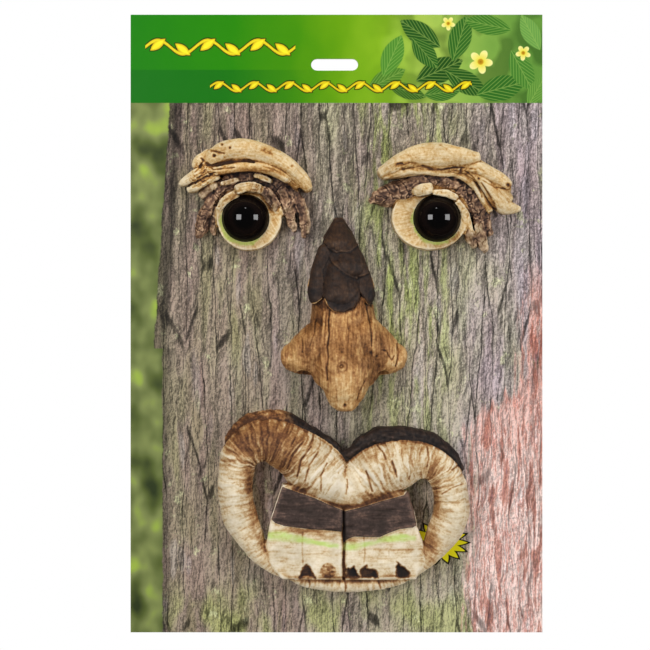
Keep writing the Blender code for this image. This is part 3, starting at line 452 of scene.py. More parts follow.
# Rows of x, z and half width in hundredths of the casting's width, and height in hundredths of its relief
LEFT_EYE_LIMBS = {
    "brow crest": [(-29.5, 39.5, 4.4, 70), (-23.6, 44.0, 5.8, 84), (-14.2, 48.4, 7.4, 93),
                   (-0.4, 49.5, 8.0, 100), (13.5, 46.5, 7.2, 100), (25.1, 41.1, 6.6, 96),
                   (34.5, 34.2, 6.2, 90), (41.8, 27.3, 5.5, 82), (45.6, 21.5, 3.6, 70)],
    "brow lower ridge": [(-28.0, 34.5, 4.0, 74), (-18.5, 34.6, 3.4, 82), (-5.5, 36.4, 3.4, 90),
                         (7.6, 36.6, 3.8, 92), (19.3, 35.0, 4.4, 90), (30.0, 29.6, 4.4, 82)],
    "brow body": [(-28.0, 38.0, 6.0, 60), (-14.0, 42.0, 8.0, 74), (0.0, 43.5, 8.5, 80), (14.0, 42.0, 8.0, 84),
                  (27.0, 36.0, 7.5, 82), (38.5, 26.0, 6.0, 72)],
    "brow fold": [(-26.7, 47.0, 3.6, 72), (-33.8, 41.8, 3.6, 70), (-36.7, 37.5, 2.9, 64)],
    "brow horn": [(-27.3, 34.5, 5.1, 74), (-34.5, 31.6, 4.7, 72), (-41.8, 28.0, 3.6, 64),
                  (-47.9, 25.0, 1.8, 52)],
    "brow tongue": [(-21.5, 30.9, 3.6, 70), (-29.5, 26.9, 3.6, 66), (-36.7, 22.9, 3.3, 58),
                    (-41.8, 20.7, 2.2, 50)],
    "fold under": [(-22.2, 24.4, 3.2, 54), (-28.0, 20.0, 3.4, 50), (-32.4, 16.4, 2.7, 44)],
    "bark arch": [(-25.8, 14.2, 5.8, 42), (-19.3, 21.5, 6.5, 50), (-9.1, 26.5, 6.5, 56), (3.3, 28.7, 6.5, 58),
                  (16.4, 26.5, 7.3, 56), (27.3, 20.0, 7.3, 52), (35.3, 12.0, 5.8, 44)],
    "bark plate right": [(6.9, 30.4, 1.7, 73), (12.7, 28.9, 2.0, 73), (18.2, 26.7, 1.7, 68)],
    "bark plate left": [(-17.1, 24.8, 1.8, 62), (-11.3, 26.0, 1.9, 66), (-5.5, 27.8, 1.8, 70)],
    "lid left": [(-19.5, 7.0, 2.6, 48), (-14.5, 12.7, 3.4, 60), (-7.0, 17.0, 3.2, 68)],
    "lid top": [(-5.5, 20.6, 3.4, 76), (2.5, 22.4, 4.0, 80), (10.3, 21.0, 3.6, 78)],
    "lid right": [(12.7, 20.7, 3.0, 72), (17.8, 14.9, 4.2, 66), (22.2, 8.4, 3.8, 54), (25.8, 2.5, 2.6, 42)],
    "outer strand": [(-22.9, 17.1, 3.6, 48), (-26.5, 9.8, 4.7, 46), (-29.5, 2.5, 5.1, 42),
                     (-32.4, -5.5, 5.5, 38), (-34.5, -12.0, 3.6, 30)],
    "inner strand": [(-19.3, 7.6, 2.9, 44), (-22.2, 1.1, 2.9, 38), (-23.6, -6.2, 2.5, 32),
                     (-23.6, -11.3, 1.5, 26)],
    "flake inner": [(26.5, 20.0, 4.4, 54), (30.9, 9.8, 4.2, 48), (33.1, 0.4, 3.8, 42), (35.3, -8.4, 2.0, 32)],
    "flake middle": [(33.8, 20.0, 4.2, 52), (38.9, 10.5, 4.0, 46), (41.8, 1.1, 3.6, 40),
                     (42.3, -13.9, 1.6, 26)],
    "flake outer": [(40.4, 12.7, 2.7, 42), (43.3, 4.0, 2.8, 40), (45.5, -4.0, 2.1, 34), (44.7, -9.8, 1.4, 28)],
}
EYE_FACET = 0.42  # mm, one face of a finished eye casting's skin
LEFT_EYE_LIME = (122, 78, 3.4)  # middle and half of its turn round the ball in degrees, width in mm
LEFT_RING = (2.5, 0.4, 24.0, 24.0, 10.5)  # x, z, half width, half height in hundredths; height in mm
# How far each limb was worked as bark; the others are smooth wood
LEFT_EYE_BARK = {"bark arch": 1.0, "outer strand": 0.85, "inner strand": 0.62, "fold under": 0.55,
                 "flake inner": 0.66, "flake middle": 0.72, "flake outer": 0.62, "lid right": 0.62,
                 "bark plate right": 0.34, "bark plate left": 0.42, "lid left": 0.36, "lid top": 0.42}
# Grooves drawn with a modelling tool: depth in mm, then pixels of the photograph with the half width there
LEFT_EYE_GROOVES = [
    (1.0, [(209, 166, 1.0), (216, 165, 1.5), (226, 163, 1.7), (238, 160.5, 2.0), (247, 160, 1.7),
           (254, 162, 0.9)]),
    (0.6, [(213, 169.5, 0.9), (224, 168.5, 1.2), (234, 167.5, 0.9)]),
    (0.8, [(201, 158, 1.0), (206, 163, 1.4), (212, 168, 1.1)]),
    (0.7, [(211, 150.5, 1.2), (217, 151.5, 1.6), (224, 153.5, 1.0)]),
    (0.35, [(262, 149, 2.0), (266, 151, 2.4), (272, 154, 1.4)]),
    (0.6, [(195, 172, 0.8), (199, 168, 1.0), (203, 161, 0.8)]),
    (0.7, [(188, 186, 0.8), (196, 182, 1.0), (206, 177, 1.0), (215, 172.5, 0.8)]),
    (0.5, [(199, 178, 0.7), (203, 173, 0.9), (206, 168, 0.7)]),
    (0.35, [(190, 178, 0.6), (193, 180.5, 0.7), (196, 181, 0.6)]),
    (0.35, [(262, 166, 0.8), (275, 170, 1.0), (287, 177, 0.8)]),
]
LEFT_EYE_PITS = [(214, 155.7, 1.7, 1.5), (230, 147.7, 1.2, 0.7), (222, 144.5, 1.3, 0.7), (264, 150, 1.6, 0.3),
                 (292, 166, 1.2, 0.4), (178.5, 182, 1.1, 0.5)]
# Where the surface was crumpled: centre, half width and half height in pixels, height in mm
LEFT_EYE_CRUMPLE = [(203, 172, 10, 13, 0.55), (196, 183, 12, 6, 0.55), (214, 176, 8, 6, 0.4),
                    (224, 166, 16, 5, 0.25)]
# Extra brown on the casting: centre, half width and half height in pixels, strength; negative ones lighten. The spots
# from 222, 174 along to 305, 191 make the brow darker towards its lower edge
LEFT_EYE_STAIN = [(204, 170, 8, 12, 0.20), (199, 181, 9, 5, 0.20), (219, 152, 8, 4, 0.20),
                  (266, 152, 9, 4, 0.18), (230, 164, 20, 5, 0.16), (292, 187, 14, 6, 0.24),
                  (258, 170.5, 30, 3.5, 0.26), (222, 174, 14, 3.5, 0.24), (305, 191, 7, 4, 0.14),
                  (275, 148, 16, 4, 0.05), (184, 178, 7, 6, -0.14), (244, 191, 14, 3, 0.10),
                  (232, 198, 10, 4, 0.12), (254, 178, 30, 5, 0.12), (252, 194, 20, 6, 0.10),
                  (270, 205, 8, 12, 0.16)]


def along_curve(rows, closed=False, steps=4):
    """Rows on a smooth curve through the given rows, with the given steps between each two."""
    rows = np.array(rows, dtype=float)
    count = len(rows)
    result = []
    for span in range(count if closed else count - 1):
        picks = [(span + offset) % count if closed else min(max(span + offset, 0), count - 1)
                 for offset in (-1, 0, 1, 2)]
        before, start, end, after = rows[picks]
        for t in np.arange(steps) / steps:
            result.append(0.5 * (2 * start + (end - before) * t
                                 + (2 * before - 5 * start + 4 * end - after) * t ** 2
                                 + (3 * start - before - 3 * end + after) * t ** 3))
    return np.array(result if closed else result + [rows[-1]])


def sized(limbs, width, relief, place):
    """Limb rows in mm in the face's own frame."""
    return {name: along_curve(rows) * [width / 100, width / 100, width / 100, relief / 100] + [*place, 0, 0]
            for name, rows in limbs.items()}


# Sections of a limb's round end: how far out, how wide and how tall, as shares of the last row's
ROUND_END = ((0.26, 0.90, 0.98), (0.48, 0.66, 0.92), (0.60, 0.30, 0.80))


def lay_limb(skin, rows, closed=False, crown=0.8):
    """Lofts a limb through rounded sections. Open limbs end round; every foot passes behind the glue face."""
    if not closed:
        caps = []
        for end, near in ((rows[0], rows[1]), (rows[-1], rows[-2])):
            out = (end[:2] - near[:2]) / np.linalg.norm(end[:2] - near[:2])
            caps.append([np.array([*(end[:2] + out * end[2] * reach), end[2] * wide, end[3] * tall])
                         for reach, wide, tall in ROUND_END])
        rows = np.array([*caps[0][::-1], *rows, *caps[1]])
    count = len(rows)
    rings = []
    for index, (x, z, half_width, height) in enumerate(rows):
        ahead = rows[(index + 1) % count if closed else min(index + 1, count - 1)]
        behind = rows[index - 1 if closed else max(index - 1, 0)]
        run = Vector(ahead[:2] - behind[:2]).normalized()
        ring = bmesh.ops.create_circle(skin, segments=24, radius=1.0)["verts"]
        rings.append(list({edge for vert in ring for edge in vert.link_edges}))
        rise = min(half_width * crown, height * 0.8)
        for vert in ring:
            side, lift = vert.co.x * half_width, vert.co.y
            level = -FOOT_DEPTH if lift < -0.01 else height - rise * (1 - lift)
            vert.co = (x - run.y * side, GLUE_FACE - level, z + run.x * side)
    if closed:
        rings.append(rings[0])
    else:
        bmesh.ops.contextual_create(skin, geom=rings[0])
        bmesh.ops.contextual_create(skin, geom=rings[-1])
    for near, far in zip(rings, rings[1:]):
        bmesh.ops.bridge_loops(skin, edges=near + far)


def fused(skin, voxel):
    """Fuses overlapping closed forms into one skin of even small faces."""
    bmesh.ops.recalc_face_normals(skin, faces=skin.faces)
    data = bpy.data.meshes.new("rough casting")
    skin.to_mesh(data)
    skin.free()
    block = bpy.data.objects.new("rough casting", data)
    bpy.context.scene.collection.objects.link(block)
    fuse = block.modifiers.new("fuse", 'REMESH')
    fuse.mode = 'VOXEL'
    fuse.voxel_size = voxel
    result = bpy.data.meshes.new_from_object(block.evaluated_get(bpy.context.evaluated_depsgraph_get()))
    bpy.data.objects.remove(block)
    return result


def points_of(data):
    """Places and normals of a mesh's points, and its edges as pairs of points."""
    points = np.empty(len(data.vertices) * 3, dtype=np.float32)
    data.vertices.foreach_get("co", points)
    normals = np.empty(len(data.vertices) * 3, dtype=np.float32)
    data.vertex_normals.foreach_get("vector", normals)
    pairs = np.empty(len(data.edges) * 2, dtype=np.int32)
    data.edges.foreach_get("vertices", pairs)
    return points.reshape(-1, 3).astype(float), normals.reshape(-1, 3).astype(float), pairs.reshape(-1, 2)


def relaxed(values, pairs, rounds):
    """Each point's value averaged with its neighbours', round after round."""
    values = values.reshape(len(values), -1)
    count = len(values)
    share = np.bincount(pairs.ravel(), minlength=count)
    for _ in range(rounds):
        columns = [np.bincount(pairs[:, 0], column[pairs[:, 1]], count)
                   + np.bincount(pairs[:, 1], column[pairs[:, 0]], count) for column in values.T]
        values = 0.5 * values + 0.5 * np.stack(columns, axis=1) / np.maximum(share, 1)[:, None]
    return values.squeeze()


def reshape_skin(data, points):
    """Puts a mesh's points in new places."""
    data.vertices.foreach_set("co", points.astype(np.float32).ravel())
    data.update()


def eased(values, low, high):
    """0 below low, 1 above high, smooth between."""
    t = np.clip((values - low) / (high - low), 0, 1)
    return t * t * (3 - 2 * t)


def noise(u, v, seed=0.0):
    """Smooth noise from -1 to 1 with one bump to each unit of u and v."""
    column, row = np.floor(u), np.floor(v)
    s, t = u - column, v - row
    s, t = s * s * (3 - 2 * s), t * t * (3 - 2 * t)

    def corner(right, up):
        wave = np.sin((column + right) * 127.1 + (row + up) * 311.7 + seed * 74.7) * 43758.5453
        return wave - np.floor(wave)

    low = corner(0, 0) * (1 - s) + corner(1, 0) * s
    high = corner(0, 1) * (1 - s) + corner(1, 1) * s
    return 2 * (low * (1 - t) + high * t) - 1


def rough_noise(u, v, seed=0.0, octaves=3):
    """Noise with finer and finer noise on it."""
    total = np.zeros(len(u))
    for octave in range(octaves):
        total += noise(u, v, seed + octave) / 2 ** octave
        u, v = 1.7 * u - 1.0 * v + 5.3, 1.0 * u + 1.7 * v + 2.1
    return total


def owners(points, limbs, closed=()):
    """For each point the number of the limb it belongs to, and its run along and across that limb in mm."""
    best = np.full(len(points), -1e9)
    owner = np.zeros(len(points), dtype=int)
    along = np.zeros(len(points))
    across = np.zeros(len(points))
    for number, (name, rows) in enumerate(limbs.items()):
        rows = np.vstack([rows, rows[:1]]) if name in closed else rows[::2]
        travelled = 0.0
        for start, end in zip(rows, rows[1:]):
            run = end[:2] - start[:2]
            length = np.linalg.norm(run)
            away = points[:, [0, 2]] - start[:2]
            t = np.clip(away @ run / length ** 2, 0, 1)
            half_width = start[2] + (end[2] - start[2]) * t
            height = start[3] + (end[3] - start[3]) * t
            gap = np.linalg.norm(away - t[:, None] * run, axis=1)
            within = np.sqrt(np.clip(1 - (gap / half_width) ** 2, 0, 1))
            score = np.where(gap < half_width, height - np.minimum(half_width, height) * 0.8 * (1 - within),
                             half_width - gap)
            better = score > best
            best[better], owner[better] = score[better], number
            along[better] = travelled + t[better] * length
            across[better] = (run[0] * away[better, 1] - run[1] * away[better, 0]) / length
            travelled += length
    return owner, along, across


def seen(points):
    """Where points in mm show in the photograph's frame, in its pixels."""
    eye = np.array(camera.location) * MM
    scale = FRAME_PIXELS * LENS / SENSOR / (points[:, 1] - eye[1])
    return np.stack([FRAME_PIXELS / 2 + (points[:, 0] - eye[0]) * scale,
                     FRAME_PIXELS / 2 - (points[:, 2] - eye[2]) * scale], axis=1)


def drawn(view, line):
    """1 on a drawn line of x, y and half width, falling to 0 beside it."""
    mark = np.zeros(len(view))
    for (x0, y0, w0), (x1, y1, w1) in zip(line, line[1:]):
        run = np.array([x1 - x0, y1 - y0])
        away = view - [x0, y0]
        t = np.clip(away @ run / (run @ run), 0, 1)
        gap = np.linalg.norm(away - t[:, None] * run, axis=1) / (w0 + (w1 - w0) * t)
        mark = np.maximum(mark, np.exp(-gap ** 2))
    return mark


def spots(view, places):
    """Soft oval spots of x, y, half width, half height and strength, summed."""
    return sum(strength * np.exp(-((view[:, 0] - x) / wide) ** 2 - ((view[:, 1] - y) / high) ** 2)
               for x, y, wide, high, strength in places)


def trimmed(data):
    """Cuts a skin flat at the glue face and closes its back."""
    shell = bmesh.new()
    shell.from_mesh(data)
    bmesh.ops.bisect_plane(shell, geom=shell.verts[:] + shell.edges[:] + shell.faces[:], dist=1e-4,
                           plane_co=(0, GLUE_FACE, 0), plane_no=(0, 1, 0), clear_outer=True)
    rim = [edge for edge in shell.edges if edge.is_boundary]
    bmesh.ops.triangle_fill(shell, use_beauty=True, use_dissolve=False, edges=rim, normal=(0, 1, 0))
    shell.to_mesh(data)
    shell.free()


def ball_form(radius, floor, place, segments=96, rings=24):
    """A dome on a short straight skirt with a flat floor, spun about the line of sight, in mm."""
    x, z, rim = place[0], place[1], GLUE_FACE - BALL_RIM
    form = bmesh.new()
    tip = form.verts.new((x, rim - radius, z))
    side = [tip]
    for step in range(1, rings + 1):
        angle = math.pi / 2 * step / rings
        side.append(form.verts.new((x + radius * math.sin(angle), rim - radius * math.cos(angle), z)))
    side.append(form.verts.new((x + radius, GLUE_FACE - floor, z)))
    side.append(form.verts.new((x, GLUE_FACE - floor, z)))
    edges = [form.edges.new(pair) for pair in zip(side, side[1:])]
    bmesh.ops.spin(form, geom=side + edges, cent=(x, 0, z), axis=(0, 1, 0), angle=2 * math.pi, steps=segments,
                   use_merge=True)
    bmesh.ops.remove_doubles(form, verts=form.verts, dist=1e-4)
    bmesh.ops.recalc_face_normals(form, faces=form.faces)
    return form


def cut_socket(data, place):
    """Bores the seat of an eyeball into a casting."""
    body = bpy.data.objects.new("casting to bore", data)
    cutter_data = bpy.data.meshes.new("socket")
    form = ball_form(BALL_RADIUS + CLEARANCE, SOCKET_FLOOR, place, 80, 16)
    form.to_mesh(cutter_data)
    form.free()
    cutter = bpy.data.objects.new("socket", cutter_data)
    for item in (body, cutter):
        bpy.context.scene.collection.objects.link(item)
    bore = body.modifiers.new("bore", 'BOOLEAN')
    bore.operation = 'DIFFERENCE'
    bore.solver = 'EXACT'
    bore.object = cutter
    result = bpy.data.meshes.new_from_object(body.evaluated_get(bpy.context.evaluated_depsgraph_get()))
    bpy.data.objects.remove(body)
    bpy.data.objects.remove(cutter)
    return result


def hollowness(data, fine, broad):
    """0.5 on even ground, more in hollows, less on ridges, from a fine and a broad average of the surface."""
    points, normals, pairs = points_of(data)
    near = relaxed(points, pairs, 6)
    far = relaxed(near, pairs, 34)
    return 0.5 + ((near - points) * normals).sum(1) / fine + ((far - points) * normals).sum(1) / broad


def dress(name, data, marks, grain, material):
    """Makes a finished casting of a mesh in mm: its paint marks, its material and its place in the frame."""
    for key, values in marks.items():
        mark = data.attributes.new(key, 'FLOAT', 'POINT')
        mark.data.foreach_set("value", np.clip(values, 0, 1).astype(np.float32))
    run = data.attributes.new("grain", 'FLOAT_VECTOR', 'POINT')
    run.data.foreach_set("vector", grain.astype(np.float32).ravel())
    points = points_of(data)[0]
    reshape_skin(data, points / MM)
    data.shade_smooth()
    data.materials.clear()
    data.materials.append(material)
    piece = bpy.data.objects.new(f"{name}_painted", data)
    bpy.context.scene.collection.objects.link(piece)
    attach(piece, "root")
    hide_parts(name)
    return piece


GRIT = 0.0002  # metres, height of the brushed paint's grit


def resin_paint(name, pale, bark, lime="#aebd52", fleck=1.0, cast=0.9):
    """Brush-painted cast polyresin: a pale coat, brown stain and painted shade by the wash mark, bark and lime by
    theirs.
    """
    paint = bpy.data.materials.new(name)
    paint.use_nodes = True
    tree = paint.node_tree
    shader = tree.nodes["Principled BSDF"]
    wash_and_shade, bark_mark, lime_mark, broad = (add(tree, "ShaderNodeAttribute", out=2, attribute_name=key)
                                         for key in ("wash_and_shade", "bark", "lime", "blotch"))
    place = add(tree, "ShaderNodeTexCoord", out=3)
    grain = add(tree, "ShaderNodeAttribute", out=1, attribute_name="grain")
    fine = add(tree, NOISE, {"Vector": place, "Scale": 620.0, "Detail": 4.0, "Roughness": 0.65})
    mottle = add(tree, NOISE, {"Vector": place, "Scale": 150.0, "Detail": 3.0})
    streak = add(tree, NOISE, {"Vector": add(tree, VECTOR, {0: grain, 1: (0.11, 0.9, 1.0)},
                                             operation='MULTIPLY'),
                               "Scale": 1.0, "Detail": 4.0, "Roughness": 0.6})
    # The wash mark holds brown stain in the hollows and, on the nose and mouth, spots of painted shade; the coat ramps
    # read it
    stain = add(tree, MATH, {0: add(tree, MATH, {0: fine, 1: 0.5}, operation='SUBTRACT'), 1: 0.55 * fleck,
                             2: wash_and_shade}, operation='MULTIPLY_ADD')
    stain = add(tree, MATH, {0: add(tree, MATH, {0: streak, 1: 0.5}, operation='SUBTRACT'), 1: 0.45 * fleck,
                             2: stain}, operation='MULTIPLY_ADD')
    stain = add(tree, MATH, {0: add(tree, MATH, {0: mottle, 1: 0.5}, operation='SUBTRACT'), 1: 0.30 * fleck,
                             2: stain}, operation='MULTIPLY_ADD')
    pale_coat = add(tree, RAMP, {0: stain}, stops=pale)
    patch = add(tree, NOISE, {"Vector": place, "Scale": 190.0, "Detail": 3.0, "Roughness": 0.55})
    patch = add(tree, MATH, {0: add(tree, MATH, {0: patch, 1: 0.5}, operation='SUBTRACT'), 1: cast, 2: stain},
                operation='MULTIPLY_ADD')
    bark_coat = add(tree, RAMP, {0: patch}, stops=bark)
    bark_edge = add(tree, MATH, {0: add(tree, MATH, {0: mottle, 1: 0.5}, operation='SUBTRACT'), 1: 0.5,
                                 2: bark_mark}, operation='MULTIPLY_ADD')
    bark_edge = add(tree, RANGE, {0: bark_edge, 1: 0.30, 2: 0.70}, interpolation_type='SMOOTHSTEP')
    coat = add(tree, MIX, {0: bark_edge, 6: pale_coat, 7: bark_coat}, out=2, data_type='RGBA')
    lime_edge = add(tree, MATH, {0: add(tree, MATH, {0: streak, 1: 0.5}, operation='SUBTRACT'), 1: 0.25,
                                 2: lime_mark}, operation='MULTIPLY_ADD')
    lime_edge = add(tree, RANGE, {0: lime_edge, 1: 0.15, 2: 0.95, 4: 0.82}, interpolation_type='SMOOTHSTEP')
    lime_coat = add(tree, MIX, {0: add(tree, RANGE, {0: stain, 1: 0.45, 2: 1.0, 4: 0.7}), 6: lime,
                                7: "#6e6a2a"}, out=2, data_type='RGBA')
    coat = add(tree, MIX, {0: lime_edge, 6: coat, 7: lime_coat}, out=2, data_type='RGBA')
    coat = add(tree, VECTOR, {0: coat, "Scale": add(tree, RANGE, {0: broad, 3: 0.82, 4: 1.16})},
               operation='SCALE')
    tree.links.new(coat, shader.inputs["Base Color"])
    tree.links.new(add(tree, RANGE, {0: stain, 3: 0.50, 4: 0.72}), shader.inputs["Roughness"])
    grit = add(tree, BUMP, {"Strength": 0.8, "Distance": GRIT, "Height": fine})
    grit = add(tree, BUMP, {"Strength": 0.7, "Distance": GRIT * 1.6, "Height": streak, "Normal": grit})
    tree.links.new(grit, shader.inputs["Normal"])
    shader.inputs["IOR"].default_value = 1.5
    shader.inputs["Specular IOR Level"].default_value = 0.4
    return paint


CREAM_STOPS = [(0.18, "#ecdcbb"), (0.42, "#dcc396"), (0.56, "#c9a368"), (0.68, "#a87536"), (0.82, "#6b4422"),
               (1.0, "#3a2315")]
BARK_STOPS = [(0.10, "#c9a785"), (0.34, "#8d6b50"), (0.52, "#624636"), (0.70, "#3f2a20"), (0.95, "#1f1513")]
cream_resin = resin_paint("painted polyresin, brown washed", CREAM_STOPS, BARK_STOPS)


def eye_casting(side, limbs, ring, width, place, bark_shares, grooves, pits, crumple, stain, lime, seed):
    """One eye casting from its limbs and its ring, worked over and painted."""
    limbs = sized(limbs, width, EYE_RELIEF, place)
    skin = bmesh.new()
    for name, rows in limbs.items():
        lay_limb(skin, rows, crown=0.32 if name.startswith(("lid", "bark plate", "flake")) else 0.8)
    ring_x, ring_z = place[0] + ring[0] * width / 100, place[1] + ring[1] * width / 100
    pad = bmesh.ops.create_cone(skin, cap_ends=True, segments=64, radius1=1.0, radius2=RING_TAPER, depth=1.0)
    for vert in pad["verts"]:
        across, up, share = vert.co.x, vert.co.y, vert.co.z + 0.5
        vert.co = (ring_x + across * ring[2] * width / 100,
                   GLUE_FACE + FOOT_DEPTH - share * (ring[4] + FOOT_DEPTH),
                   ring_z + up * ring[3] * width / 100)

    def ringed(points):
        """Which points lie on the ring that holds the ball."""
        return (points[:, 1] > GLUE_FACE - ring[4] - 0.8) & (
            np.hypot((points[:, 0] - ring_x) / ring[2], (points[:, 2] - ring_z) / ring[3]) < width / 100 * 1.02)

    def pressure(view):
        """How hard the modelling tool was pressed, uneven along each groove."""
        return 0.75 + 0.5 * noise(view[:, 0] / 5, view[:, 1] / 5, seed + 12)

    data = fused(skin, EYE_FACET)
    points, normals, pairs = points_of(data)
    points = relaxed(points, pairs, 3)
    reshape_skin(data, points)
    owner, along, across = owners(points, limbs)
    shares = np.array([bark_shares.get(name, 0.0) for name in limbs])
    on_ring = ringed(points)
    bark = np.where(on_ring, 0.0, shares[owner])
    bark = relaxed(bark, pairs, 5)
    smooth_wood = relaxed((~on_ring & (shares[owner] == 0)).astype(float), pairs, 5)
    ring_share = relaxed(on_ring.astype(float), pairs, 4)
    skew_x, skew_z = points[:, 0] + 0.6 * points[:, 1], points[:, 2] - 0.5 * points[:, 1]
    turn = np.arctan2(points[:, 2] - place[1], points[:, 0] - place[0])
    reach = np.hypot(points[:, 2] - place[1], points[:, 0] - place[0])
    view = seen(points)
    uneven = pressure(view)
    lift = smooth_wood * (0.40 * rough_noise(along / 15, across / 8, seed)
                          + 0.12 * noise(along / 9, across / 1.6, seed)
                          + 0.12 * rough_noise(skew_x / 2.6, skew_z / 2.6, seed + 3))
    flaky = np.array([name.startswith(("lid", "bark plate")) for name in limbs])
    torn = relaxed(np.where(on_ring, 0.0, flaky[owner]), pairs, 3)
    lift += torn * (0.16 * rough_noise(along / 6, across / 1.5, seed + 15)
                    + 0.20 * rough_noise(skew_x / 4.5, skew_z / 4.5, seed + 16))
    lift += spots(view, crumple) * smooth_wood * rough_noise(along / 3.2, across / 1.7, seed + 4)
    fibres = rough_noise(along / 13, across / 2.4 + 1.2 * noise(along / 7, across / 6, seed + 6), seed + 5)
    rents = eased(0.16 - np.abs(rough_noise(skew_x / 5.5, skew_z / 8, seed + 8)), 0.0, 0.16)
    lift += bark * (0.50 * fibres + 0.95 * rough_noise(skew_x / 4.2, skew_z / 4.2, seed + 7)
                    + 0.20 * noise(skew_x / 1.7, skew_z / 1.7, seed + 13) - 0.8 * rents)
    lift += ring_share * (0.10 * noise(turn * 17 / 0.95, reach / 7, seed + 9)
                          + 0.20 * rough_noise(skew_x / 5, skew_z / 5, seed + 11))
    cut = np.zeros(len(points))
    for depth, line in grooves:
        cut = np.maximum(cut, depth * uneven * drawn(view, line))
    for x, y, radius, depth in pits:
        cut = np.maximum(cut, depth * spots(view, [(x, y, radius, radius, 1.0)]))
    _, normals, _ = points_of(data)
    points = points + normals * (lift - cut)[:, None]
    points = relaxed(points, pairs, 1)
    reshape_skin(data, points)
    trimmed(data)
    data = cut_socket(data, place)
    points, normals, pairs = points_of(data)
    view = seen(points)
    owner, along, across = owners(points, limbs)
    on_ring = ringed(points)
    bark = relaxed(np.where(on_ring, 0.0, shares[owner]), pairs, 4)
    wash_and_shade = hollowness(data, 0.9, 3.2)
    uneven = pressure(view)
    for depth, line in grooves:
        wash_and_shade += 0.19 * depth * uneven * drawn(view, line)
    for x, y, radius, depth in pits:
        wash_and_shade += 0.35 * min(depth, 1.0) * spots(view, [(x, y, radius, radius, 1.0)])
    wash_and_shade += spots(view, stain)
    marks = {"wash_and_shade": wash_and_shade, "bark": bark,
             "lime": lime_band(points, place, *lime) * on_ring * eased(-normals[:, 1], 0.55, 0.8),
             "blotch": 0.5 + 0.35 * rough_noise(points[:, 0] / 16, points[:, 2] / 12, seed + 20)}
    grain = np.stack([along, across, owner * 7.3], axis=1)
    return dress(f"{side}_eye_casting", data, marks, grain, cream_resin)


def lime_band(points, place, middle, half_turn, widest):
    """1 on a crescent of lime paint round a ball, widest at the middle of its turn, in degrees and mm."""
    turn = np.degrees(np.arctan2(place[1] - points[:, 2], points[:, 0] - place[0])) % 360
    reach = np.hypot(points[:, 0] - place[0], points[:, 2] - place[1]) - BALL_RADIUS
    swell = np.sqrt(np.clip(1 - (np.abs(turn - middle) / half_turn) ** 2, 0, 1))
    edge = 0.9 * rough_noise(points[:, 0] / 3, points[:, 2] / 3, 90)
    return np.clip((widest * swell - reach + edge) / 2.6 + 0.4, 0, 1) * eased(swell, 0.0, 0.5)


eye_casting("left", LEFT_EYE_LIMBS, LEFT_RING, LEFT_EYE_WIDTH, LEFT_EYE_PLACE, LEFT_EYE_BARK, LEFT_EYE_GROOVES,
            LEFT_EYE_PITS, LEFT_EYE_CRUMPLE, LEFT_EYE_STAIN, LEFT_EYE_LIME, 1.0)

# The left eyeball
# A black acrylic dome with a short skirt, moulded and polished, pressed into the seat in the ring.
def polished_eye(side, place):
    """One eyeball: a finely spun dome in place of the plain one."""
    form = ball_form(BALL_RADIUS, SOCKET_FLOOR + CLEARANCE, place)
    bmesh.ops.scale(form, verts=form.verts, vec=(1 / MM, 1 / MM, 1 / MM))
    data = bpy.data.meshes.new(f"{side}_eyeball_polished")
    form.to_mesh(data)
    form.free()
    data.shade_smooth()
    data.set_sharp_from_angle(angle=math.radians(40))
    acrylic = bpy.data.materials.new(f"polished black acrylic, {side}")
    acrylic.use_nodes = True
    tree = acrylic.node_tree
    shader = tree.nodes["Principled BSDF"]
    centred = add(tree, VECTOR, {0: add(tree, "ShaderNodeTexCoord", out=3),
                                 1: (place[0] / MM, 0, place[1] / MM)}, operation='SUBTRACT')
    spread = add(tree, VECTOR, {0: centred, 1: (1000.0, 0.0, 1000.0)}, operation='MULTIPLY')
    spread = add(tree, VECTOR, {0: spread}, out=1, operation='LENGTH')
    cloud = add(tree, NOISE, {"Vector": centred, "Scale": 90.0, "Detail": 3.0})
    spread = add(tree, MATH, {0: cloud, 1: 2.0, 2: spread}, operation='MULTIPLY_ADD')
    depth = add(tree, RAMP, {0: add(tree, RANGE, {0: spread, 1: 0.0, 2: 17.0})}, stops=[
        (0.0, "#050506"), (0.45, "#070606"), (0.62, "#150e0c"), (0.80, "#0d0908"), (1.0, "#060505")])
    tree.links.new(depth, shader.inputs["Base Color"])
    polish = add(tree, RANGE, {0: cloud, 1: 0.3, 2: 0.7, 3: 0.035, 4: 0.075})
    tree.links.new(polish, shader.inputs["Roughness"])
    shader.inputs["IOR"].default_value = 1.49
    shine = add(tree, RANGE, {0: spread, 1: 9.5, 2: 14.0, 3: 0.52, 4: 0.03})
    tree.links.new(shine, shader.inputs["Specular IOR Level"])
    data.materials.append(acrylic)
    piece = bpy.data.objects.new(f"{side}_eyeball_polished", data)
    bpy.context.scene.collection.objects.link(piece)
    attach(piece, "root")
    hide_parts(f"{side}_eyeball")


polished_eye("left", LEFT_EYE_PLACE)

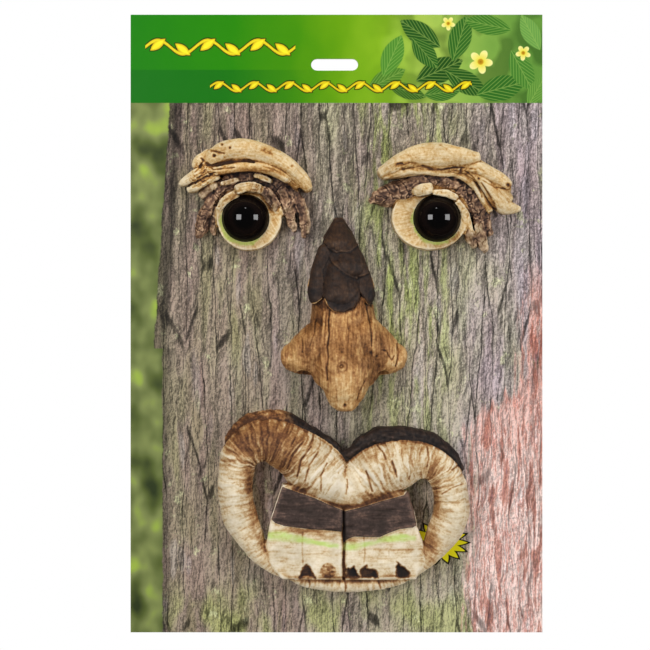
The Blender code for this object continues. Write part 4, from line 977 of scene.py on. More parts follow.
# The right eye casting
# The left one's companion with its own shapes: a split brow that droops at the outer end over a bark arch.
RIGHT_EYE_WIDTH = 107.0
RIGHT_EYE_PLACE = (67.72, 71.0)
RIGHT_EYE_LIMBS = {
    "brow crest": [(-35.1, 28.3, 3.8, 70), (-28.2, 32.4, 5.0, 80), (-20.0, 36.2, 6.0, 88),
                   (-9.9, 39.0, 7.2, 96), (2.0, 39.3, 7.9, 100), (11.4, 38.4, 6.6, 98), (19.6, 37.7, 5.0, 94),
                   (25.3, 38.1, 3.2, 86)],
    "brow lower ridge": [(-33.2, 26.4, 2.5, 66), (-24.4, 28.6, 2.9, 74), (-16.2, 29.8, 2.7, 78),
                         (-7.4, 29.0, 2.2, 76), (2.0, 27.9, 2.2, 74), (11.4, 28.3, 2.4, 72)],
    "brow body": [(-30.0, 28.5, 4.0, 64), (-18.0, 32.0, 6.0, 74), (-8.0, 33.5, 6.5, 78), (3.0, 33.5, 7.0, 80),
                  (14.0, 33.0, 6.5, 80), (25.0, 31.0, 6.0, 76), (36.0, 24.0, 6.0, 66), (43.0, 17.0, 5.0, 56)],
    "brow upper rib": [(15.8, 30.2, 3.1, 80), (23.4, 31.4, 3.8, 84), (30.9, 28.6, 4.4, 84),
                       (39.1, 24.5, 4.1, 78), (44.9, 20.6, 3.1, 70)],
    "brow web": [(30.2, 25.0, 3.8, 72), (39.1, 17.6, 5.0, 62), (45.0, 11.3, 4.0, 54)],
    "brow lower rib": [(19.6, 28.3, 2.5, 76), (27.2, 23.9, 3.4, 78), (32.8, 17.6, 4.0, 74),
                       (37.9, 11.3, 5.0, 68), (42.9, 7.5, 5.0, 60), (48.6, 6.3, 3.4, 50),
                       (52.3, 6.0, 1.6, 40)],
    "brow inner rib": [(12.1, 27.7, 2.5, 70), (19.6, 23.9, 2.6, 68), (25.3, 18.2, 2.6, 62),
                       (29.7, 11.3, 2.5, 56), (33.5, 5.0, 2.2, 48)],
    "bark clump": [(-41.6, 11.3, 2.4, 34), (-36.4, 13.2, 5.0, 42), (-28.2, 14.8, 7.5, 48),
                   (-20.0, 17.0, 7.5, 54), (-13.1, 20.1, 5.7, 58)],
    "bark arch": [(-15.6, 22.0, 5.0, 56), (-4.3, 24.8, 5.0, 58), (7.7, 23.3, 5.3, 58), (16.5, 17.6, 5.3, 54),
                  (22.8, 9.4, 5.3, 48), (27.2, 0.0, 4.7, 42), (30.3, -8.8, 3.8, 34)],
    "lid left": [(-13.3, 16.6, 3.2, 64), (-9.3, 17.6, 3.8, 72), (-4.6, 18.6, 3.4, 72)],
    "lid top": [(-2.0, 15.9, 1.7, 70), (5.8, 15.1, 2.4, 72), (12.0, 12.7, 1.9, 64)],
    "lid right": [(12.7, 10.1, 2.0, 60), (17.1, 3.8, 2.6, 52), (19.6, -3.1, 2.6, 44), (20.9, -6.9, 2.0, 38)],
    "flake inner": [(19.0, -5.7, 2.8, 40), (21.5, -11.9, 3.3, 36), (24.0, -17.6, 1.7, 28)],
    "flake outer": [(27.2, -3.8, 3.5, 40), (28.4, -11.9, 3.4, 36), (30.3, -18.9, 2.1, 30),
                    (31.1, -21.4, 1.2, 24)],
    "outer strand": [(19.6, 18.2, 3.1, 56), (26.5, 8.8, 3.5, 48), (31.6, -0.6, 2.8, 40),
                     (33.5, -9.4, 1.9, 32)],
}
RIGHT_EYE_LIME = (118, 90, 2.2)
RIGHT_RING = (-4.3, 0.6, 24.5, 20.8, 10.5)
RIGHT_EYE_BARK = {"bark clump": 1.0, "bark arch": 1.0, "outer strand": 0.9, "flake inner": 0.55,
                  "flake outer": 0.6, "lid right": 0.32, "lid left": 0.32, "lid top": 0.30}
RIGHT_EYE_GROOVES = [
    (0.9, [(397, 164, 1.3), (408, 162, 1.8), (421, 165.6, 1.8), (430, 168.6, 1.4), (442, 169.8, 1.0),
           (453, 167.5, 1.0), (464, 167.4, 0.8)]),
    (1.0, [(481.4, 183, 0.9), (487, 192, 1.4), (493, 202, 1.8), (495.5, 210, 1.2)]),
    (0.8, [(465, 171, 0.9), (474, 178, 1.2), (479, 188, 1.4), (482, 197, 0.9)]),
    (0.4, [(482, 180, 0.7), (495, 187, 1.0), (505, 189, 0.7)]),
    (0.25, [(440, 145, 0.8), (447, 148.5, 0.9)]),
    (0.4, [(470, 169, 0.8), (478, 168, 0.9), (484, 171, 0.7)]),
]
RIGHT_EYE_PITS = [(508.5, 185, 2.2, 1.3), (478.7, 178.6, 1.2, 0.6), (404, 170, 2.0, 0.4)]
RIGHT_EYE_CRUMPLE = [(402, 167, 12, 5, 0.4), (457, 170, 14, 5, 0.4), (472, 178, 8, 8, 0.3)]
RIGHT_EYE_STAIN = [(402, 165, 10, 4, 0.22), (457, 170, 14, 4, 0.24), (491, 203, 5, 9, 0.18),
                   (470, 179, 9, 8, 0.16), (425, 169, 20, 3, 0.16), (508, 187, 4, 4, 0.16),
                   (390, 177, 16, 3, 0.14), (515, 196, 4, 8, 0.10), (486, 205, 4, 10, 0.12),
                   (460, 240, 10, 4, 0.2), (445, 246, 10, 4, 0.14), (455, 235, 5, 5, 0.16)]


eye_casting("right", RIGHT_EYE_LIMBS, RIGHT_RING, RIGHT_EYE_WIDTH, RIGHT_EYE_PLACE, RIGHT_EYE_BARK,
            RIGHT_EYE_GROOVES, RIGHT_EYE_PITS, RIGHT_EYE_CRUMPLE, RIGHT_EYE_STAIN, RIGHT_EYE_LIME, 31.0)

# The right eyeball
# The same moulded acrylic dome as the left one, in its own seat.
polished_eye("right", RIGHT_EYE_PLACE)

# The nose
# One polyresin casting: a bare wood nose with two wings, stained honey brown, under a cap of overlapping
# bark scales painted chocolate brown.
NOSE_WIDTH = 86.8
NOSE_RELIEF = 34.7  # before the grain is raised on it
NOSE_PLACE = (4.4, 8.3)
NOSE_FACET = 0.5  # mm, one face of the finished nose's skin
NOSTRIL_DEPTH = 0.30  # of the nose's relief, where a nostril's middle lies
NOSE_LIMBS = {
    "bridge": [(-3.8, 70.5, 4.6, 24), (-3.1, 61.5, 10.0, 34), (-2.7, 47.7, 15.4, 46), (-1.9, 30.8, 20.0, 56),
               (-1.2, 13.1, 23.1, 64), (-0.4, -3.1, 24.6, 70), (0.8, -21.5, 26.2, 80), (1.5, -36.0, 25.0, 91),
               (1.5, -48.0, 21.5, 98), (1.5, -58.0, 17.8, 100), (0.8, -65.5, 14.0, 94),
               (0.8, -69.3, 11.4, 84)],
    "left wing": [(-11.5, -22.0, 19.0, 76), (-24.4, -31.0, 17.6, 66), (-35.4, -35.2, 14.0, 54),
                  (-42.6, -36.2, 9.6, 42)],
    "right wing": [(13.8, -22.0, 19.0, 76), (25.5, -31.0, 17.6, 66), (36.2, -35.4, 14.0, 54),
                   (43.0, -36.6, 9.6, 42)],
    "left flare": [(-21.0, -38.0, 10.0, 56), (-13.5, -49.5, 9.0, 62), (-7.0, -57.5, 7.5, 72)],
    "right flare": [(24.0, -38.0, 10.0, 56), (16.5, -49.5, 9.0, 62), (9.5, -57.5, 7.5, 72)],
    "scale left": [(-13.8, 47.7, 6.2, 44), (-16.9, 32.3, 7.7, 50), (-18.6, 18.5, 8.0, 54),
                   (-19.4, 9.5, 6.4, 56)],
    "scale right": [(11.5, 38.5, 5.4, 48), (14.6, 26.9, 6.9, 52), (16.9, 16.9, 7.3, 56), (17.3, 9.5, 6.0, 58)],
    "scale low": [(-3.8, 32.3, 10.2, 60), (-2.3, 21.5, 14.3, 68), (-1.5, 12.8, 14.6, 73)],
    "scale middle": [(1.5, 50.8, 7.2, 50), (4.4, 42.3, 11.0, 58), (4.9, 34.8, 12.8, 64)],
    "scale top": [(-3.1, 66.0, 4.8, 34), (-2.3, 59.5, 9.2, 44), (-2.3, 53.1, 11.9, 52)],
}
# Bark scales from the lowest up: outlines in pixels of the photograph, thickness of the lower edge in mm
NOSE_SCALES = [
    ([(326, 238), (318, 252), (312, 270), (308, 288), (306.5, 301), (311, 303.5), (316, 303), (322, 299), (326, 290),
      (328, 268), (332, 252)], 1.9),
    ([(362, 250), (358, 276), (360, 292), (364, 298), (368, 304), (376, 304), (373, 288), (369, 268)], 1.9),
    ([(330, 258), (323, 270), (322.5, 285), (325, 298), (329, 306), (334.5, 311), (343.7, 313), (352, 309), (357, 302),
      (360, 292), (361.5, 278), (356, 262), (345, 256)], 2.3),
    ([(324, 246), (328, 255), (334.5, 265.5), (345, 276), (355.7, 280), (363.5, 277), (368.5, 274), (364, 258),
      (356, 243), (340, 238)], 2.2),
    ([(334, 214), (325, 228), (323.5, 238), (327.5, 248), (337, 253.5), (350.5, 252.5), (357.5, 246), (353, 232),
      (344, 214)], 2.0),
]
NOSE_CAP = [(333, 212), (346, 212), (354, 230), (364, 250), (371, 272), (378, 304), (368, 304.5),
            (363.7, 298), (360.5, 295.5), (357.5, 302), (352, 309.5), (343.7, 313), (334.5, 311), (329, 306),
            (325.5, 299), (322.5, 298), (317, 302.5), (311, 303.5), (306, 302), (308, 285), (313, 258),
            (320, 235)]
NOSE_GROOVES = [
    (0.7, [(329.5, 311, 0.8), (328.4, 322, 0.9), (329.2, 334, 0.8), (327.6, 346, 1.2), (328.4, 357, 1.1),
           (326.8, 368, 1.4), (327.4, 380, 0.8)]),
    (-0.45, [(324.5, 312, 1.4), (323.5, 330, 1.4), (322, 350, 1.4), (323, 368, 1.0)]),
    (0.55, [(365.5, 303, 0.7), (368.5, 318, 0.9), (371, 330, 0.9), (371.5, 346, 0.6)]),
    (-0.4, [(371, 308, 1.0), (373, 322, 1.2), (374, 338, 1.0)]),
    (0.9, [(396.5, 344, 0.8), (398.5, 352, 1.2), (397.5, 360, 1.1), (395.5, 366, 0.7)]),
    (0.5, [(382, 350, 0.8), (386, 350.5, 0.9), (388.5, 355, 0.9), (392, 360, 0.9), (394, 356, 0.7)]),
    (0.35, [(302, 337, 0.6), (303, 345, 0.8), (302.5, 352, 0.6)]),
    (0.25, [(347, 315, 0.6), (348.5, 330, 0.7), (348, 343, 0.6)]),
    (0.3, [(316, 320, 0.7), (314, 334, 0.8), (310, 346, 0.6)]),
    (0.25, [(336, 386, 0.6), (336.5, 396, 0.7), (338, 403, 0.5)]),
    (0.4, [(366, 378, 0.7), (361, 388, 0.8), (357, 400, 0.6)]),
]
# Growth rings carved round a knot: centre, radius and half width in pixels, depth in mm
NOSE_KNOT = [(341.5, 366.5, 1.3, 1.2, 0.55), (342.3, 367.2, 4.8, 1.1, 0.25)]
NOSE_PITS = [(345, 405.5, 1.8, 2.0), (371, 353, 1.8, 0.5), (285, 366, 2.5, 0.3), (377, 356, 1.2, 0.4)]
NOSE_NOSTRILS = [(-29.0, -50.5, 6.5), (29.5, -51.0, 6.0)]
# Extra brown on the nose: centre, half width and half height in pixels, strength; negative ones lighten. The two spots
# under the wings, at 300, 376 and 380, 380, are painted shade.
NOSE_STAIN_AND_SHADE = [(310, 296, 6, 8, 0.35), (370, 296, 6, 8, 0.35), (340, 306, 14, 5, 0.30),
              (338, 240, 12, 14, -0.12), (338, 290, 10, 8, -0.08), (318, 325, 8, 20, 0.18),
              (345, 345, 14, 12, 0.16), (378, 350, 12, 12, 0.08), (366, 362, 12, 10, 0.06),
              (300, 376, 13, 4.5, 0.5), (380, 380, 10, 4, 0.35), (308, 352, 12, 10, 0.12),
              (345, 398, 14, 10, -0.32), (296, 360, 8, 8, -0.12), (398, 358, 8, 12, -0.22),
              (338, 380, 12, 8, -0.15), (322, 304, 5, 5, 0.2), (362, 304, 5, 6, 0.12),
              (372, 318, 6, 14, 0.10)]


def inside(view, outline):
    """Pixels from each point to a closed outline, positive inside it."""
    gap = np.full(len(view), 1e9)
    odd = np.zeros(len(view), dtype=bool)
    for (x0, y0), (x1, y1) in zip(outline, outline[1:] + outline[:1]):
        run = np.array([x1 - x0, y1 - y0], dtype=float)
        away = view - [x0, y0]
        t = np.clip(away @ run / (run @ run), 0, 1)
        gap = np.minimum(gap, np.linalg.norm(away - t[:, None] * run, axis=1))
        if y0 != y1:
            crosses = ((y0 > view[:, 1]) != (y1 > view[:, 1])) & (
                view[:, 0] < (x1 - x0) * (view[:, 1] - y0) / (y1 - y0) + x0)
            odd ^= crosses
    return np.where(odd, gap, -gap)


def wavering(view, reach, size, seeds):
    """Small shifts in pixels that make a drawn outline waver."""
    return np.stack([reach * rough_noise(view[:, 0] / size, view[:, 1] / size, seed) for seed in seeds], axis=1)


def ring_round(view, x, y, radius, half_width):
    """1 on a ring carved round a knot, falling to 0 beside it."""
    return np.exp(-((np.hypot(view[:, 0] - x, view[:, 1] - y) - radius) / half_width) ** 2)


nose_limbs = sized(NOSE_LIMBS, NOSE_WIDTH, NOSE_RELIEF, NOSE_PLACE)
skin = bmesh.new()
for rows in nose_limbs.values():
    lay_limb(skin, rows, crown=0.95)
data = fused(skin, NOSE_FACET)
points, normals, pairs = points_of(data)
wood = eased(-points[:, 2], -14.0, -2.0)
points = (points + (relaxed(points, pairs, 26) - points) * wood[:, None]
          + (relaxed(points, pairs, 9) - points) * (1 - wood)[:, None])
reshape_skin(data, points)
_, normals, _ = points_of(data)
view = seen(points)
fronting = eased(-normals[:, 1], 0.05, 0.45)
wobble = wavering(view, 1.6, 9, (3, 5))
raised = np.zeros(len(points))
for outline, thickness in NOSE_SCALES:
    low, high = min(y for _, y in outline), max(y for _, y in outline)
    share = eased(view[:, 1], low, high)
    depth_in = inside(view + 0.5 * wobble, outline)
    step = eased(depth_in, -0.9, 0.9) * thickness * (0.15 + 0.85 * share)
    raised = np.maximum(raised, step)
    raised = np.where(depth_in > 0, step, raised)
cap = eased(inside(view + 0.4 * wobble, NOSE_CAP), -0.8, 0.8)
skew_x, skew_z = points[:, 0] + 0.6 * points[:, 1], points[:, 2] - 0.5 * points[:, 1]
flow = points[:, 0] - 0.25 * np.sin(points[:, 2] / 7)
lift = raised * fronting + 0.6 * wood * (1 - cap)
flow = flow + 1.5 * noise(points[:, 0] / 12, points[:, 2] / 16, 48)
lift += (1 - cap) * (0.60 * rough_noise(skew_x / 8, skew_z / 12, 41)
                     + 0.20 * rough_noise(flow / 1.4, points[:, 2] / 10, 43)
                     + 0.24 * rough_noise(skew_x / 2.6, skew_z / 3.0, 44)
                     - 0.35 * np.abs(noise(flow / 3.4, points[:, 2] / 24, 45)))
lift += cap * (0.34 * rough_noise(skew_x / 4, skew_z / 5, 46)
               + 0.18 * rough_noise(skew_x / 1.6, skew_z / 2.0, 47))
for depth, line in NOSE_GROOVES:
    lift -= depth * drawn(view, line)
for x, y, radius, half_width, depth in NOSE_KNOT:
    lift -= depth * ring_round(view, x, y, radius, half_width)
for x, y, radius, depth in NOSE_PITS:
    lift -= depth * spots(view, [(x, y, radius, radius, 1.0)])
points = points + normals * lift[:, None]
for x, z, radius in NOSE_NOSTRILS:
    middle = np.array([NOSE_PLACE[0] + x * NOSE_WIDTH / 100, GLUE_FACE - NOSE_RELIEF * NOSTRIL_DEPTH,
                       NOSE_PLACE[1] + z * NOSE_WIDTH / 100])
    gap = np.linalg.norm(points - middle, axis=1)
    size = radius * NOSE_WIDTH / 100
    dent = np.clip(1 - (gap / (size * 1.25)) ** 2, 0, 1)
    points -= normals * (dent * size * 0.75)[:, None]
points = relaxed(points, pairs, 1)
reshape_skin(data, points)
trimmed(data)
points, normals, pairs = points_of(data)
view = seen(points)
wobble = wavering(view, 1.6, 9, (3, 5))
cap = eased(inside(view + 0.4 * wobble, NOSE_CAP), -0.6, 0.8)
wash_and_shade = hollowness(data, 1.2, 3.6)
for depth, line in NOSE_GROOVES:
    wash_and_shade += 0.30 * depth * drawn(view, line)
for x, y, radius, half_width, depth in NOSE_KNOT:
    wash_and_shade += 0.4 * depth * ring_round(view, x, y, radius, half_width)
for x, y, radius, depth in NOSE_PITS:
    wash_and_shade += 0.3 * min(depth, 1.2) * spots(view, [(x, y, radius, radius, 1.0)])
# The nose's spots include painted shade under the wings
wash_and_shade += spots(view, NOSE_STAIN_AND_SHADE)
marks = {"wash_and_shade": wash_and_shade + 0.03 + 0.12 * (1 - cap) * rough_noise(points[:, 0] / 5, points[:, 2] / 9, 51),
         "bark": cap, "lime": np.zeros(len(points)),
         "blotch": 0.5 + 0.35 * rough_noise(points[:, 0] / 9, points[:, 2] / 11, 52)}
HONEY_STOPS = [(0.16, "#e0c08c"), (0.34, "#c5985f"), (0.52, "#a17141"), (0.68, "#7d5027"), (0.86, "#523117"),
               (1.0, "#2e1b0e")]
CAP_STOPS = [(0.08, "#5d432d"), (0.32, "#3f2c20"), (0.54, "#2f221b"), (0.78, "#1e1615"), (1.0, "#110e0e")]
nose_resin = resin_paint("painted polyresin, honey stain", HONEY_STOPS, CAP_STOPS, fleck=1.0, cast=0.5)
grain = np.stack([-points[:, 2], points[:, 0], 0 * points[:, 0]], axis=1)
dress("nose", data, marks, grain, nose_resin)

# The mouth
# One polyresin casting: a heart-shaped ring of wrinkled lip with dark bark along its top, and two broad
# teeth in it, capped with bark and crossed by a band of lime paint.
MOUTH_WIDTH = 170.5
LIP_RELIEF = 26.0
TOOTH_RELIEF = 16.5
TOOTH_BEVEL = 2.0
SEAM_DROP = 2.6  # mm that the floor between the teeth lies behind their fronts
SEAM_BEVEL = 0.5
MOUTH_FACET = 0.62  # mm, one face of the finished mouth's skin
MOUTH_PLACE = (4.8, -118.17)
LIP_ROWS = [
    (0.6, 3.9, 8.0, 84), (6.9, 6.7, 9.4, 92), (14.3, 11.4, 11.0, 98), (22.2, 14.1, 10.2, 100),
    (30.0, 15.3, 7.5, 98), (36.7, 12.9, 6.3, 94), (41.0, 7.1, 6.9, 90), (42.5, 0.0, 6.9, 88),
    (42.2, -7.1, 6.9, 86), (39.0, -14.1, 6.3, 80), (34.7, -21.2, 4.3, 70), (28.0, -27.8, 2.9, 60),
    (19.0, -32.5, 2.5, 56), (8.4, -33.9, 2.7, 56), (-3.3, -33.9, 2.9, 56), (-13.1, -32.5, 2.9, 56),
    (-21.8, -29.4, 2.5, 58), (-28.0, -26.5, 2.9, 60), (-33.1, -22.0, 3.7, 68), (-36.7, -15.7, 5.5, 78),
    (-40.8, -7.8, 6.7, 84), (-42.7, 0.8, 6.9, 86), (-42.7, 8.6, 6.9, 88), (-41.0, 16.9, 7.3, 92),
    (-35.5, 22.0, 8.2, 96), (-28.4, 23.1, 9.2, 100), (-19.8, 19.0, 10.2, 100), (-12.7, 13.3, 11.8, 98),
    (-6.5, 8.2, 10.0, 92),
]
LIP_BARK_ROWS = {
    "left rim": [(-1.8, 14.9, 2.4, 46), (-4.9, 19.6, 3.1, 54), (-10.0, 23.1, 3.5, 60), (-16.3, 26.7, 3.5, 64),
                 (-22.2, 29.8, 3.9, 66), (-28.8, 31.4, 3.9, 66), (-35.1, 30.2, 3.9, 62),
                 (-40.2, 27.1, 3.9, 58), (-44.5, 22.4, 3.1, 52)],
    "right rim": [(0.6, 16.5, 2.2, 46), (3.3, 17.6, 2.7, 54), (8.0, 21.2, 3.5, 62), (13.5, 24.3, 3.5, 68),
                  (20.2, 24.7, 3.9, 70), (26.5, 24.3, 3.9, 70), (32.4, 22.7, 3.9, 66), (37.8, 19.6, 3.9, 60),
                  (42.5, 16.1, 3.5, 54), (45.3, 11.8, 2.7, 48)],
}
LEFT_TOOTH = [(-24.3, 6.0), (-0.5, 4.0), (-0.5, -31.6), (-24.0, -31.6), (-29.4, -26.0), (-30.6, -19.0),
              (-29.4, -10.4)]
RIGHT_TOOTH = [(0.5, 4.0), (25.1, 3.0), (28.6, -9.8), (31.4, -17.6), (31.8, -24.0), (28.6, -31.6),
               (0.5, -31.6)]
TOOTH_SEAM = [(-3.0, 4.0), (3.0, 4.0), (3.0, -31.0), (-3.0, -31.0)]
# Where the teeth show, and the bark caps on them, in pixels of the photograph
TEETH_OUTLINE = [(281, 486), (300, 493), (315, 498), (330, 505), (345, 511), (360, 507.5), (385, 500),
                 (404, 495), (410, 487), (417, 527), (423, 545), (425, 560), (421, 577), (400, 580),
                 (345, 580), (290, 579), (277, 572), (268, 560), (265, 545), (268, 530)]
LEFT_TOOTH_BARK = [(284, 482), (276, 505), (271, 519), (275, 523), (284, 526), (300, 528), (311, 529.5),
                   (325, 530), (342, 532), (345, 505), (345, 490)]
RIGHT_TOOTH_BARK = [(343, 490), (343, 543), (348, 539), (354, 536.5), (366, 537), (380, 537), (389, 533),
                    (400, 529), (413, 527.5), (419, 524), (412, 490)]
TEETH_LIME = [
    [(264, 534, 4.5), (272, 536, 6.0), (285, 536.5, 5.8), (300, 539.5, 4.4), (316, 543, 3.0), (337, 546, 3.3)],
    [(347, 546.5, 5.2), (357, 546, 5.0), (364, 544.5, 3.6), (376, 542, 2.8), (385, 538.5, 4.4),
     (400, 537.5, 5.0), (414, 538, 3.6)],
]
TOOTH_NOTCHES = [
    [(306.5, 565), (312.5, 571), (314, 577), (299, 577), (302, 571)],
    [(345, 567), (351, 570), (355, 567), (359, 577), (345, 577)],
    [(361, 571), (366, 566.5), (370, 570), (376, 570), (379, 577), (362, 577)],
    [(397, 562), (402, 567), (409, 573), (408, 577), (397, 577)],
]
TOOTH_GROOVES = [
    (0.9, [(343.7, 508, 1.2), (343.9, 530, 1.3), (344.6, 545, 0.8), (343.6, 560, 0.9), (344, 580, 0.9)]),
    (0.3, [(302.7, 532, 0.6), (302.3, 550, 0.7), (303, 565, 0.5)]),
    (0.3, [(364, 537, 0.5), (365, 552, 0.7), (364, 563, 0.5)]),
    (0.2, [(389, 551, 0.5), (389, 556, 0.5)]),
    (0.15, [(363, 549, 0.7), (390, 550, 1.0), (422, 549, 0.7)]),
    (0.15, [(270, 551, 0.6), (300, 554, 0.9), (338, 555, 0.6)]),
    (0.15, [(352, 557, 0.6), (385, 559, 0.8), (418, 556, 0.6)]),
]
# A rosette of crinkled bark on the left tooth: centre and radius in pixels
TOOTH_ROSETTE = (328, 571, 8.0)
TOOTH_STAIN = [(343.8, 528, 3.4, 20, 0.30), (343.8, 560, 2.6, 20, 0.14), (300, 531.5, 36, 2.4, 0.30),
               (330, 537, 14, 3, 0.22), (390, 550, 34, 1.5, 0.10), (352, 541, 8, 2, 0.2),
               (275, 575, 12, 3, 0.2), (421, 545, 2.5, 14, 0.2), (292, 578, 22, 2.2, 0.4),
               (345, 577.5, 30, 2.0, 0.5), (398, 576, 24, 2.2, 0.4), (306, 572, 10, 6, 0.16),
               (365, 570, 16, 5, 0.18), (403, 570, 8, 6, 0.18), (268, 550, 2.5, 18, 0.16)]
# Folds across the lip, in pixels of the photograph
LIP_CRACKS = [
    (0.8, [(347, 479, 0.7), (347.5, 486, 0.9), (346, 494, 0.6)]),
    (1.2, [(366, 471, 1.0), (369, 480, 1.4), (372, 491, 1.0)]),
    (1.1, [(392, 461, 1.0), (395, 470, 1.3), (397, 477, 0.8)]),
    (0.8, [(377, 445, 0.6), (383, 452, 0.9), (386, 459, 0.6)]),
    (0.8, [(427, 447, 0.8), (429, 458, 1.0), (427, 467, 0.7)]),
    (0.8, [(318, 452, 0.8), (309, 466, 1.0), (305, 481, 0.8)]),
    (0.8, [(311, 447, 0.8), (301, 460, 1.0), (297, 477, 0.8)]),
    (0.7, [(303, 442, 0.7), (293, 454, 0.9), (287, 469, 0.7)]),
    (0.6, [(327, 463, 0.7), (321, 476, 0.9), (321, 491, 0.7)]),
    (0.5, [(409, 462, 0.6), (411, 472, 0.8), (409, 479, 0.6)]),
    (0.7, [(452, 470, 0.8), (461, 463, 1.0), (466, 469, 0.7)]),
    (0.6, [(442, 494, 0.6), (452, 488, 0.9), (462, 484, 0.6)]),
    (0.6, [(309, 580, 0.7), (310, 585, 0.9), (308, 590, 0.6)]),
    (0.6, [(345, 581, 0.8), (346, 587, 1.0), (345, 592, 0.6)]),
    (0.6, [(378, 581, 0.7), (380, 586, 0.9), (381, 590, 0.6)]),
    (0.5, [(404, 578, 0.7), (407, 583, 0.9), (408, 586, 0.6)]),
]
# Extra brown on the lip: centre, half width and half height in pixels, strength; negative ones lighten. The spots on
# the lip's inner walls beside the gaps, at 249 to 262 across on the left and 430 to 436 on the right, are painted
# shade.
LIP_STAIN_AND_SHADE = [(256, 432, 40, 19, 0.34), (278, 454, 24, 18, 0.28), (236, 448, 13, 14, 0.18),
             (300, 440, 20, 8, 0.16), (340, 478, 36, 18, -0.10), (249, 482, 5, 16, 0.34),
             (256, 512, 7, 18, 0.30), (262, 542, 5, 12, 0.26), (300, 490, 18, 5, 0.30),
             (345, 507, 30, 4, 0.32), (385, 497, 20, 5, 0.30), (368, 457, 10, 6, 0.24),
             (432, 470, 8, 14, 0.22), (436, 500, 4, 18, 0.32), (430, 546, 7, 16, 0.34),
             (345, 581, 66, 3, 0.22), (290, 466, 12, 16, 0.14), (232, 500, 6, 40, -0.12),
             (340, 480, 24, 12, -0.12), (455, 520, 8, 24, -0.08), (240, 545, 8, 10, -0.06),
             (418, 445, 24, 8, 0.12), (455, 452, 8, 8, 0.2)]


def lay_slab(skin, outline, height, bevel):
    """A flat-fronted block of an outline in hundredths of the mouth's width, with a rounded front edge."""
    corners = [skin.verts.new((MOUTH_PLACE[0] + x * MOUTH_WIDTH / 100, GLUE_FACE + FOOT_DEPTH,
                               MOUTH_PLACE[1] + z * MOUTH_WIDTH / 100)) for x, z in outline]
    back = skin.faces.new(corners)
    front = bmesh.ops.extrude_face_region(skin, geom=[back])["geom"]
    bmesh.ops.translate(skin, vec=(0, -height - FOOT_DEPTH, 0),
                        verts=[item for item in front if isinstance(item, bmesh.types.BMVert)])
    bmesh.ops.bevel(skin, geom=[item for item in front if isinstance(item, bmesh.types.BMEdge)], offset=bevel,
                    segments=4, profile=0.5, affect='EDGES', material=-1)


mouth_limbs = sized(LIP_BARK_ROWS, MOUTH_WIDTH, LIP_RELIEF, MOUTH_PLACE)
lip_scale = [MOUTH_WIDTH / 100, MOUTH_WIDTH / 100, MOUTH_WIDTH / 100, LIP_RELIEF / 100]
mouth_limbs["lip"] = along_curve(LIP_ROWS, True) * lip_scale + [*MOUTH_PLACE, 0, 0]
skin = bmesh.new()
for name, rows in mouth_limbs.items():
    lay_limb(skin, rows, name == "lip", crown=0.9)
lay_slab(skin, LEFT_TOOTH, TOOTH_RELIEF, TOOTH_BEVEL)
lay_slab(skin, RIGHT_TOOTH, TOOTH_RELIEF, TOOTH_BEVEL)
lay_slab(skin, TOOTH_SEAM, TOOTH_RELIEF - SEAM_DROP, SEAM_BEVEL)
data = fused(skin, MOUTH_FACET)
points, normals, pairs = points_of(data)
points = relaxed(points, pairs, 3)
reshape_skin(data, points)
_, normals, _ = points_of(data)


def bark_caps(view, sharpness):
    """How far each point lies under one of the teeth's bark caps."""
    return np.maximum(eased(inside(view, LEFT_TOOTH_BARK), -0.6, sharpness),
                      eased(inside(view, RIGHT_TOOTH_BARK), -0.6, sharpness))


def rosetted(view):
    """1 on the rosette of crinkled bark, 0 off it."""
    x, y, radius = TOOTH_ROSETTE
    return eased(radius - np.hypot(view[:, 0] - x, view[:, 1] - y), -0.8, 1.2)


def mouth_regions(points):
    """How far each point belongs to the teeth and the bark rims, its run on its limb and where it shows.

    Then how far it lies on the upper lip, and how far it is from the lip's join, where the folds die out.
    """
    owner, along, across = owners(points, mouth_limbs, closed=("lip",))
    on_lip = (owner == 2).astype(float)
    near = np.maximum(relaxed(on_lip, pairs, 12), 1e-3)
    apart = (owner == 2) & (np.abs(along - 0.5 * along.max()) < 0.47 * along.max())
    along = np.where(apart, relaxed(along * on_lip, pairs, 12) / near, along)
    across = np.where(owner == 2, relaxed(across * on_lip, pairs, 12) / near, across)
    rim = (owner != 2).astype(float)
    view = seen(points)
    teeth = eased(inside(view, TEETH_OUTLINE), -0.6, 0.8) * (points[:, 1] > GLUE_FACE - TOOTH_RELIEF - 1.8)
    upper = eased(-view[:, 1], -520, -470)
    calm = eased(np.minimum(along, along.max() - along), 0.0, 6.0)
    return teeth, rim * (1 - teeth), along, across, view, upper, calm


teeth, rim, along, across, view, upper, calm = mouth_regions(points)
lip = (1 - teeth) * (1 - rim)
teeth, rim, lip = (relaxed(field, pairs, 3) for field in (teeth, rim, lip))
skew_x, skew_z = points[:, 0] + 0.6 * points[:, 1], points[:, 2] - 0.5 * points[:, 1]
bend = along + 1.6 * noise(skew_x / 6, skew_z / 6, 60)
folds = calm * rough_noise(bend / 2.6, across / 34, 62)
lift = lip * (0.5 * rough_noise(skew_x / 14, skew_z / 14, 61) + (0.14 + 0.22 * upper) * folds
              - calm * (0.12 + 0.20 * upper)
              * eased(0.26 - np.abs(noise(bend / 2.6, across / 26, 63)), 0.0, 0.26)
              + 0.12 * calm * noise(bend / 1.2, across / 12, 64)
              + 0.10 * rough_noise(skew_x / 2.2, skew_z / 2.2, 65))
lift += rim * (0.7 * rough_noise(along / 7, across / 2.4, 66)
               + 0.45 * rough_noise(skew_x / 2.8, skew_z / 2.8, 67))
front_x, front_z = points[:, 0], points[:, 2]
lift += teeth * (0.22 * rough_noise(front_x / 14, front_z / 10, 68)
                 + 0.10 * rough_noise(front_x / 10, front_z / 1.8, 69))
bark_cap = bark_caps(view, 0.8) * teeth
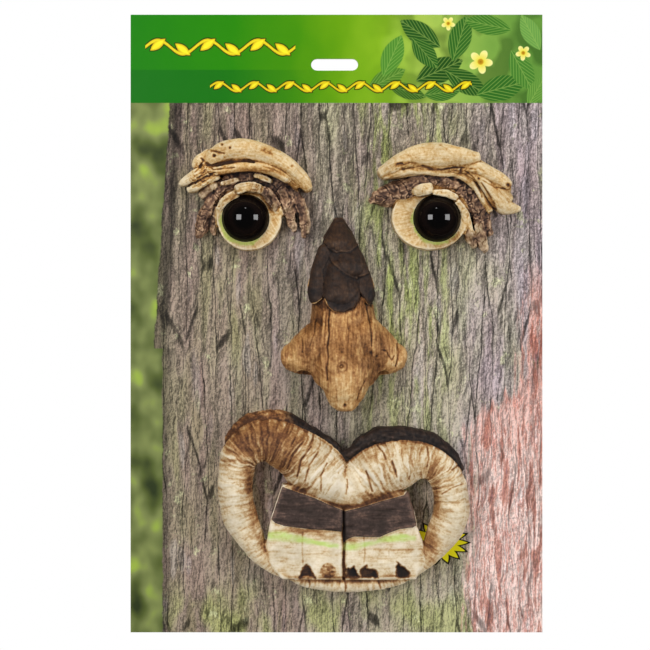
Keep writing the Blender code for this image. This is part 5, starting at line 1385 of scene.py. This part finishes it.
lift += bark_cap * (0.9 + 0.28 * rough_noise(front_x / 9, front_z / 2.2, 70))
for depth, line in TOOTH_GROOVES:
    lift -= depth * drawn(view, line) * teeth
for depth, line in LIP_CRACKS:
    lift -= 0.7 * depth * drawn(view, line) * lip
fronting = eased(-normals[:, 1], 0.3, 0.8)
rugged = view + wavering(view, 1.3, 4, (80, 83))
for outline in TOOTH_NOTCHES:
    lift -= 1.8 * eased(inside(rugged, outline), -2.0, 1.6) * teeth * fronting
lift += rosetted(view) * teeth * (0.25 + 0.5 * rough_noise(front_x / 1.5, front_z / 1.5, 85))
points = points + normals * lift[:, None]
points = relaxed(points, pairs, 1)
reshape_skin(data, points)
trimmed(data)
points, normals, pairs = points_of(data)
teeth, rim, along, across, view, upper, calm = mouth_regions(points)
left_rim = rim * eased(-view[:, 0], -312, -268)
rim = relaxed(rim - 0.85 * left_rim, pairs, 2)
bark_cap = bark_caps(view, 0.6) * teeth
wash_and_shade = hollowness(data, 1.5, 3.4)
wash_and_shade = np.where(teeth > 0.5, 0.36 + 0.8 * (wash_and_shade - 0.5).clip(-0.3, 0.6), wash_and_shade)
wash_and_shade += teeth * 0.10 * rough_noise(points[:, 0] / 6, points[:, 2] / 3, 86)
for depth, line in TOOTH_GROOVES:
    wash_and_shade += 0.42 * min(depth, 0.9) * drawn(view, line) * teeth
for depth, line in LIP_CRACKS:
    wash_and_shade += 0.16 * drawn(view, line) * (1 - teeth)
rugged = view + wavering(view, 1.3, 4, (80, 83))
notched = sum(eased(inside(rugged, outline), -2.5, 1.5) for outline in TOOTH_NOTCHES) * teeth
wash_and_shade += notched * 0.55
wash_and_shade += rosetted(view) * teeth * 0.38
# The lip's spots include painted shade on its inner walls beside the gaps
wash_and_shade += spots(view, TOOTH_STAIN) * teeth + spots(view, LIP_STAIN_AND_SHADE) * (1 - teeth)
bend = along + 1.6 * noise(points[:, 0] / 6, points[:, 2] / 6, 60)
wash_and_shade += ((1 - teeth) * (1 - rim) * calm * 0.13 * (0.45 + 0.55 * upper)
         * rough_noise(bend / 1.2, across / 14, 72))
wash_and_shade += left_rim * 0.26 + rim * 0.20
lime = (np.maximum(*(drawn(view, line) for line in TEETH_LIME)) * teeth
        * (0.85 + 0.25 * rough_noise(points[:, 0] / 5, points[:, 2] / 2, 87)))
marks = {"wash_and_shade": wash_and_shade, "bark": np.maximum(rim, np.maximum(bark_cap, notched.clip(0, 1) * 0.60)),
         "lime": lime * (1 - bark_cap),
         "blotch": 0.5 + 0.3 * rough_noise(points[:, 0] / 13, points[:, 2] / 13, 71)}
grain = np.stack([np.where(teeth > 0.5, points[:, 0], across),
                  np.where(teeth > 0.5, points[:, 2], along * 0.8), teeth * 9], axis=1)
LIP_STOPS = [(0.20, "#efe2cb"), (0.40, "#dfcdab"), (0.54, "#c6a577"), (0.68, "#a07243"), (0.84, "#74492a"),
             (1.0, "#4a2c19")]
LIP_BARK_STOPS = [(0.12, "#6e5548"), (0.30, "#45352f"), (0.50, "#33261f"), (0.75, "#211917"),
                  (1.0, "#120e0e")]
mouth_resin = resin_paint("painted polyresin, bark capped", LIP_STOPS, LIP_BARK_STOPS, lime="#bbd868",
                          fleck=0.9, cast=0.35)
dress("mouth", data, marks, grain, mouth_resin)
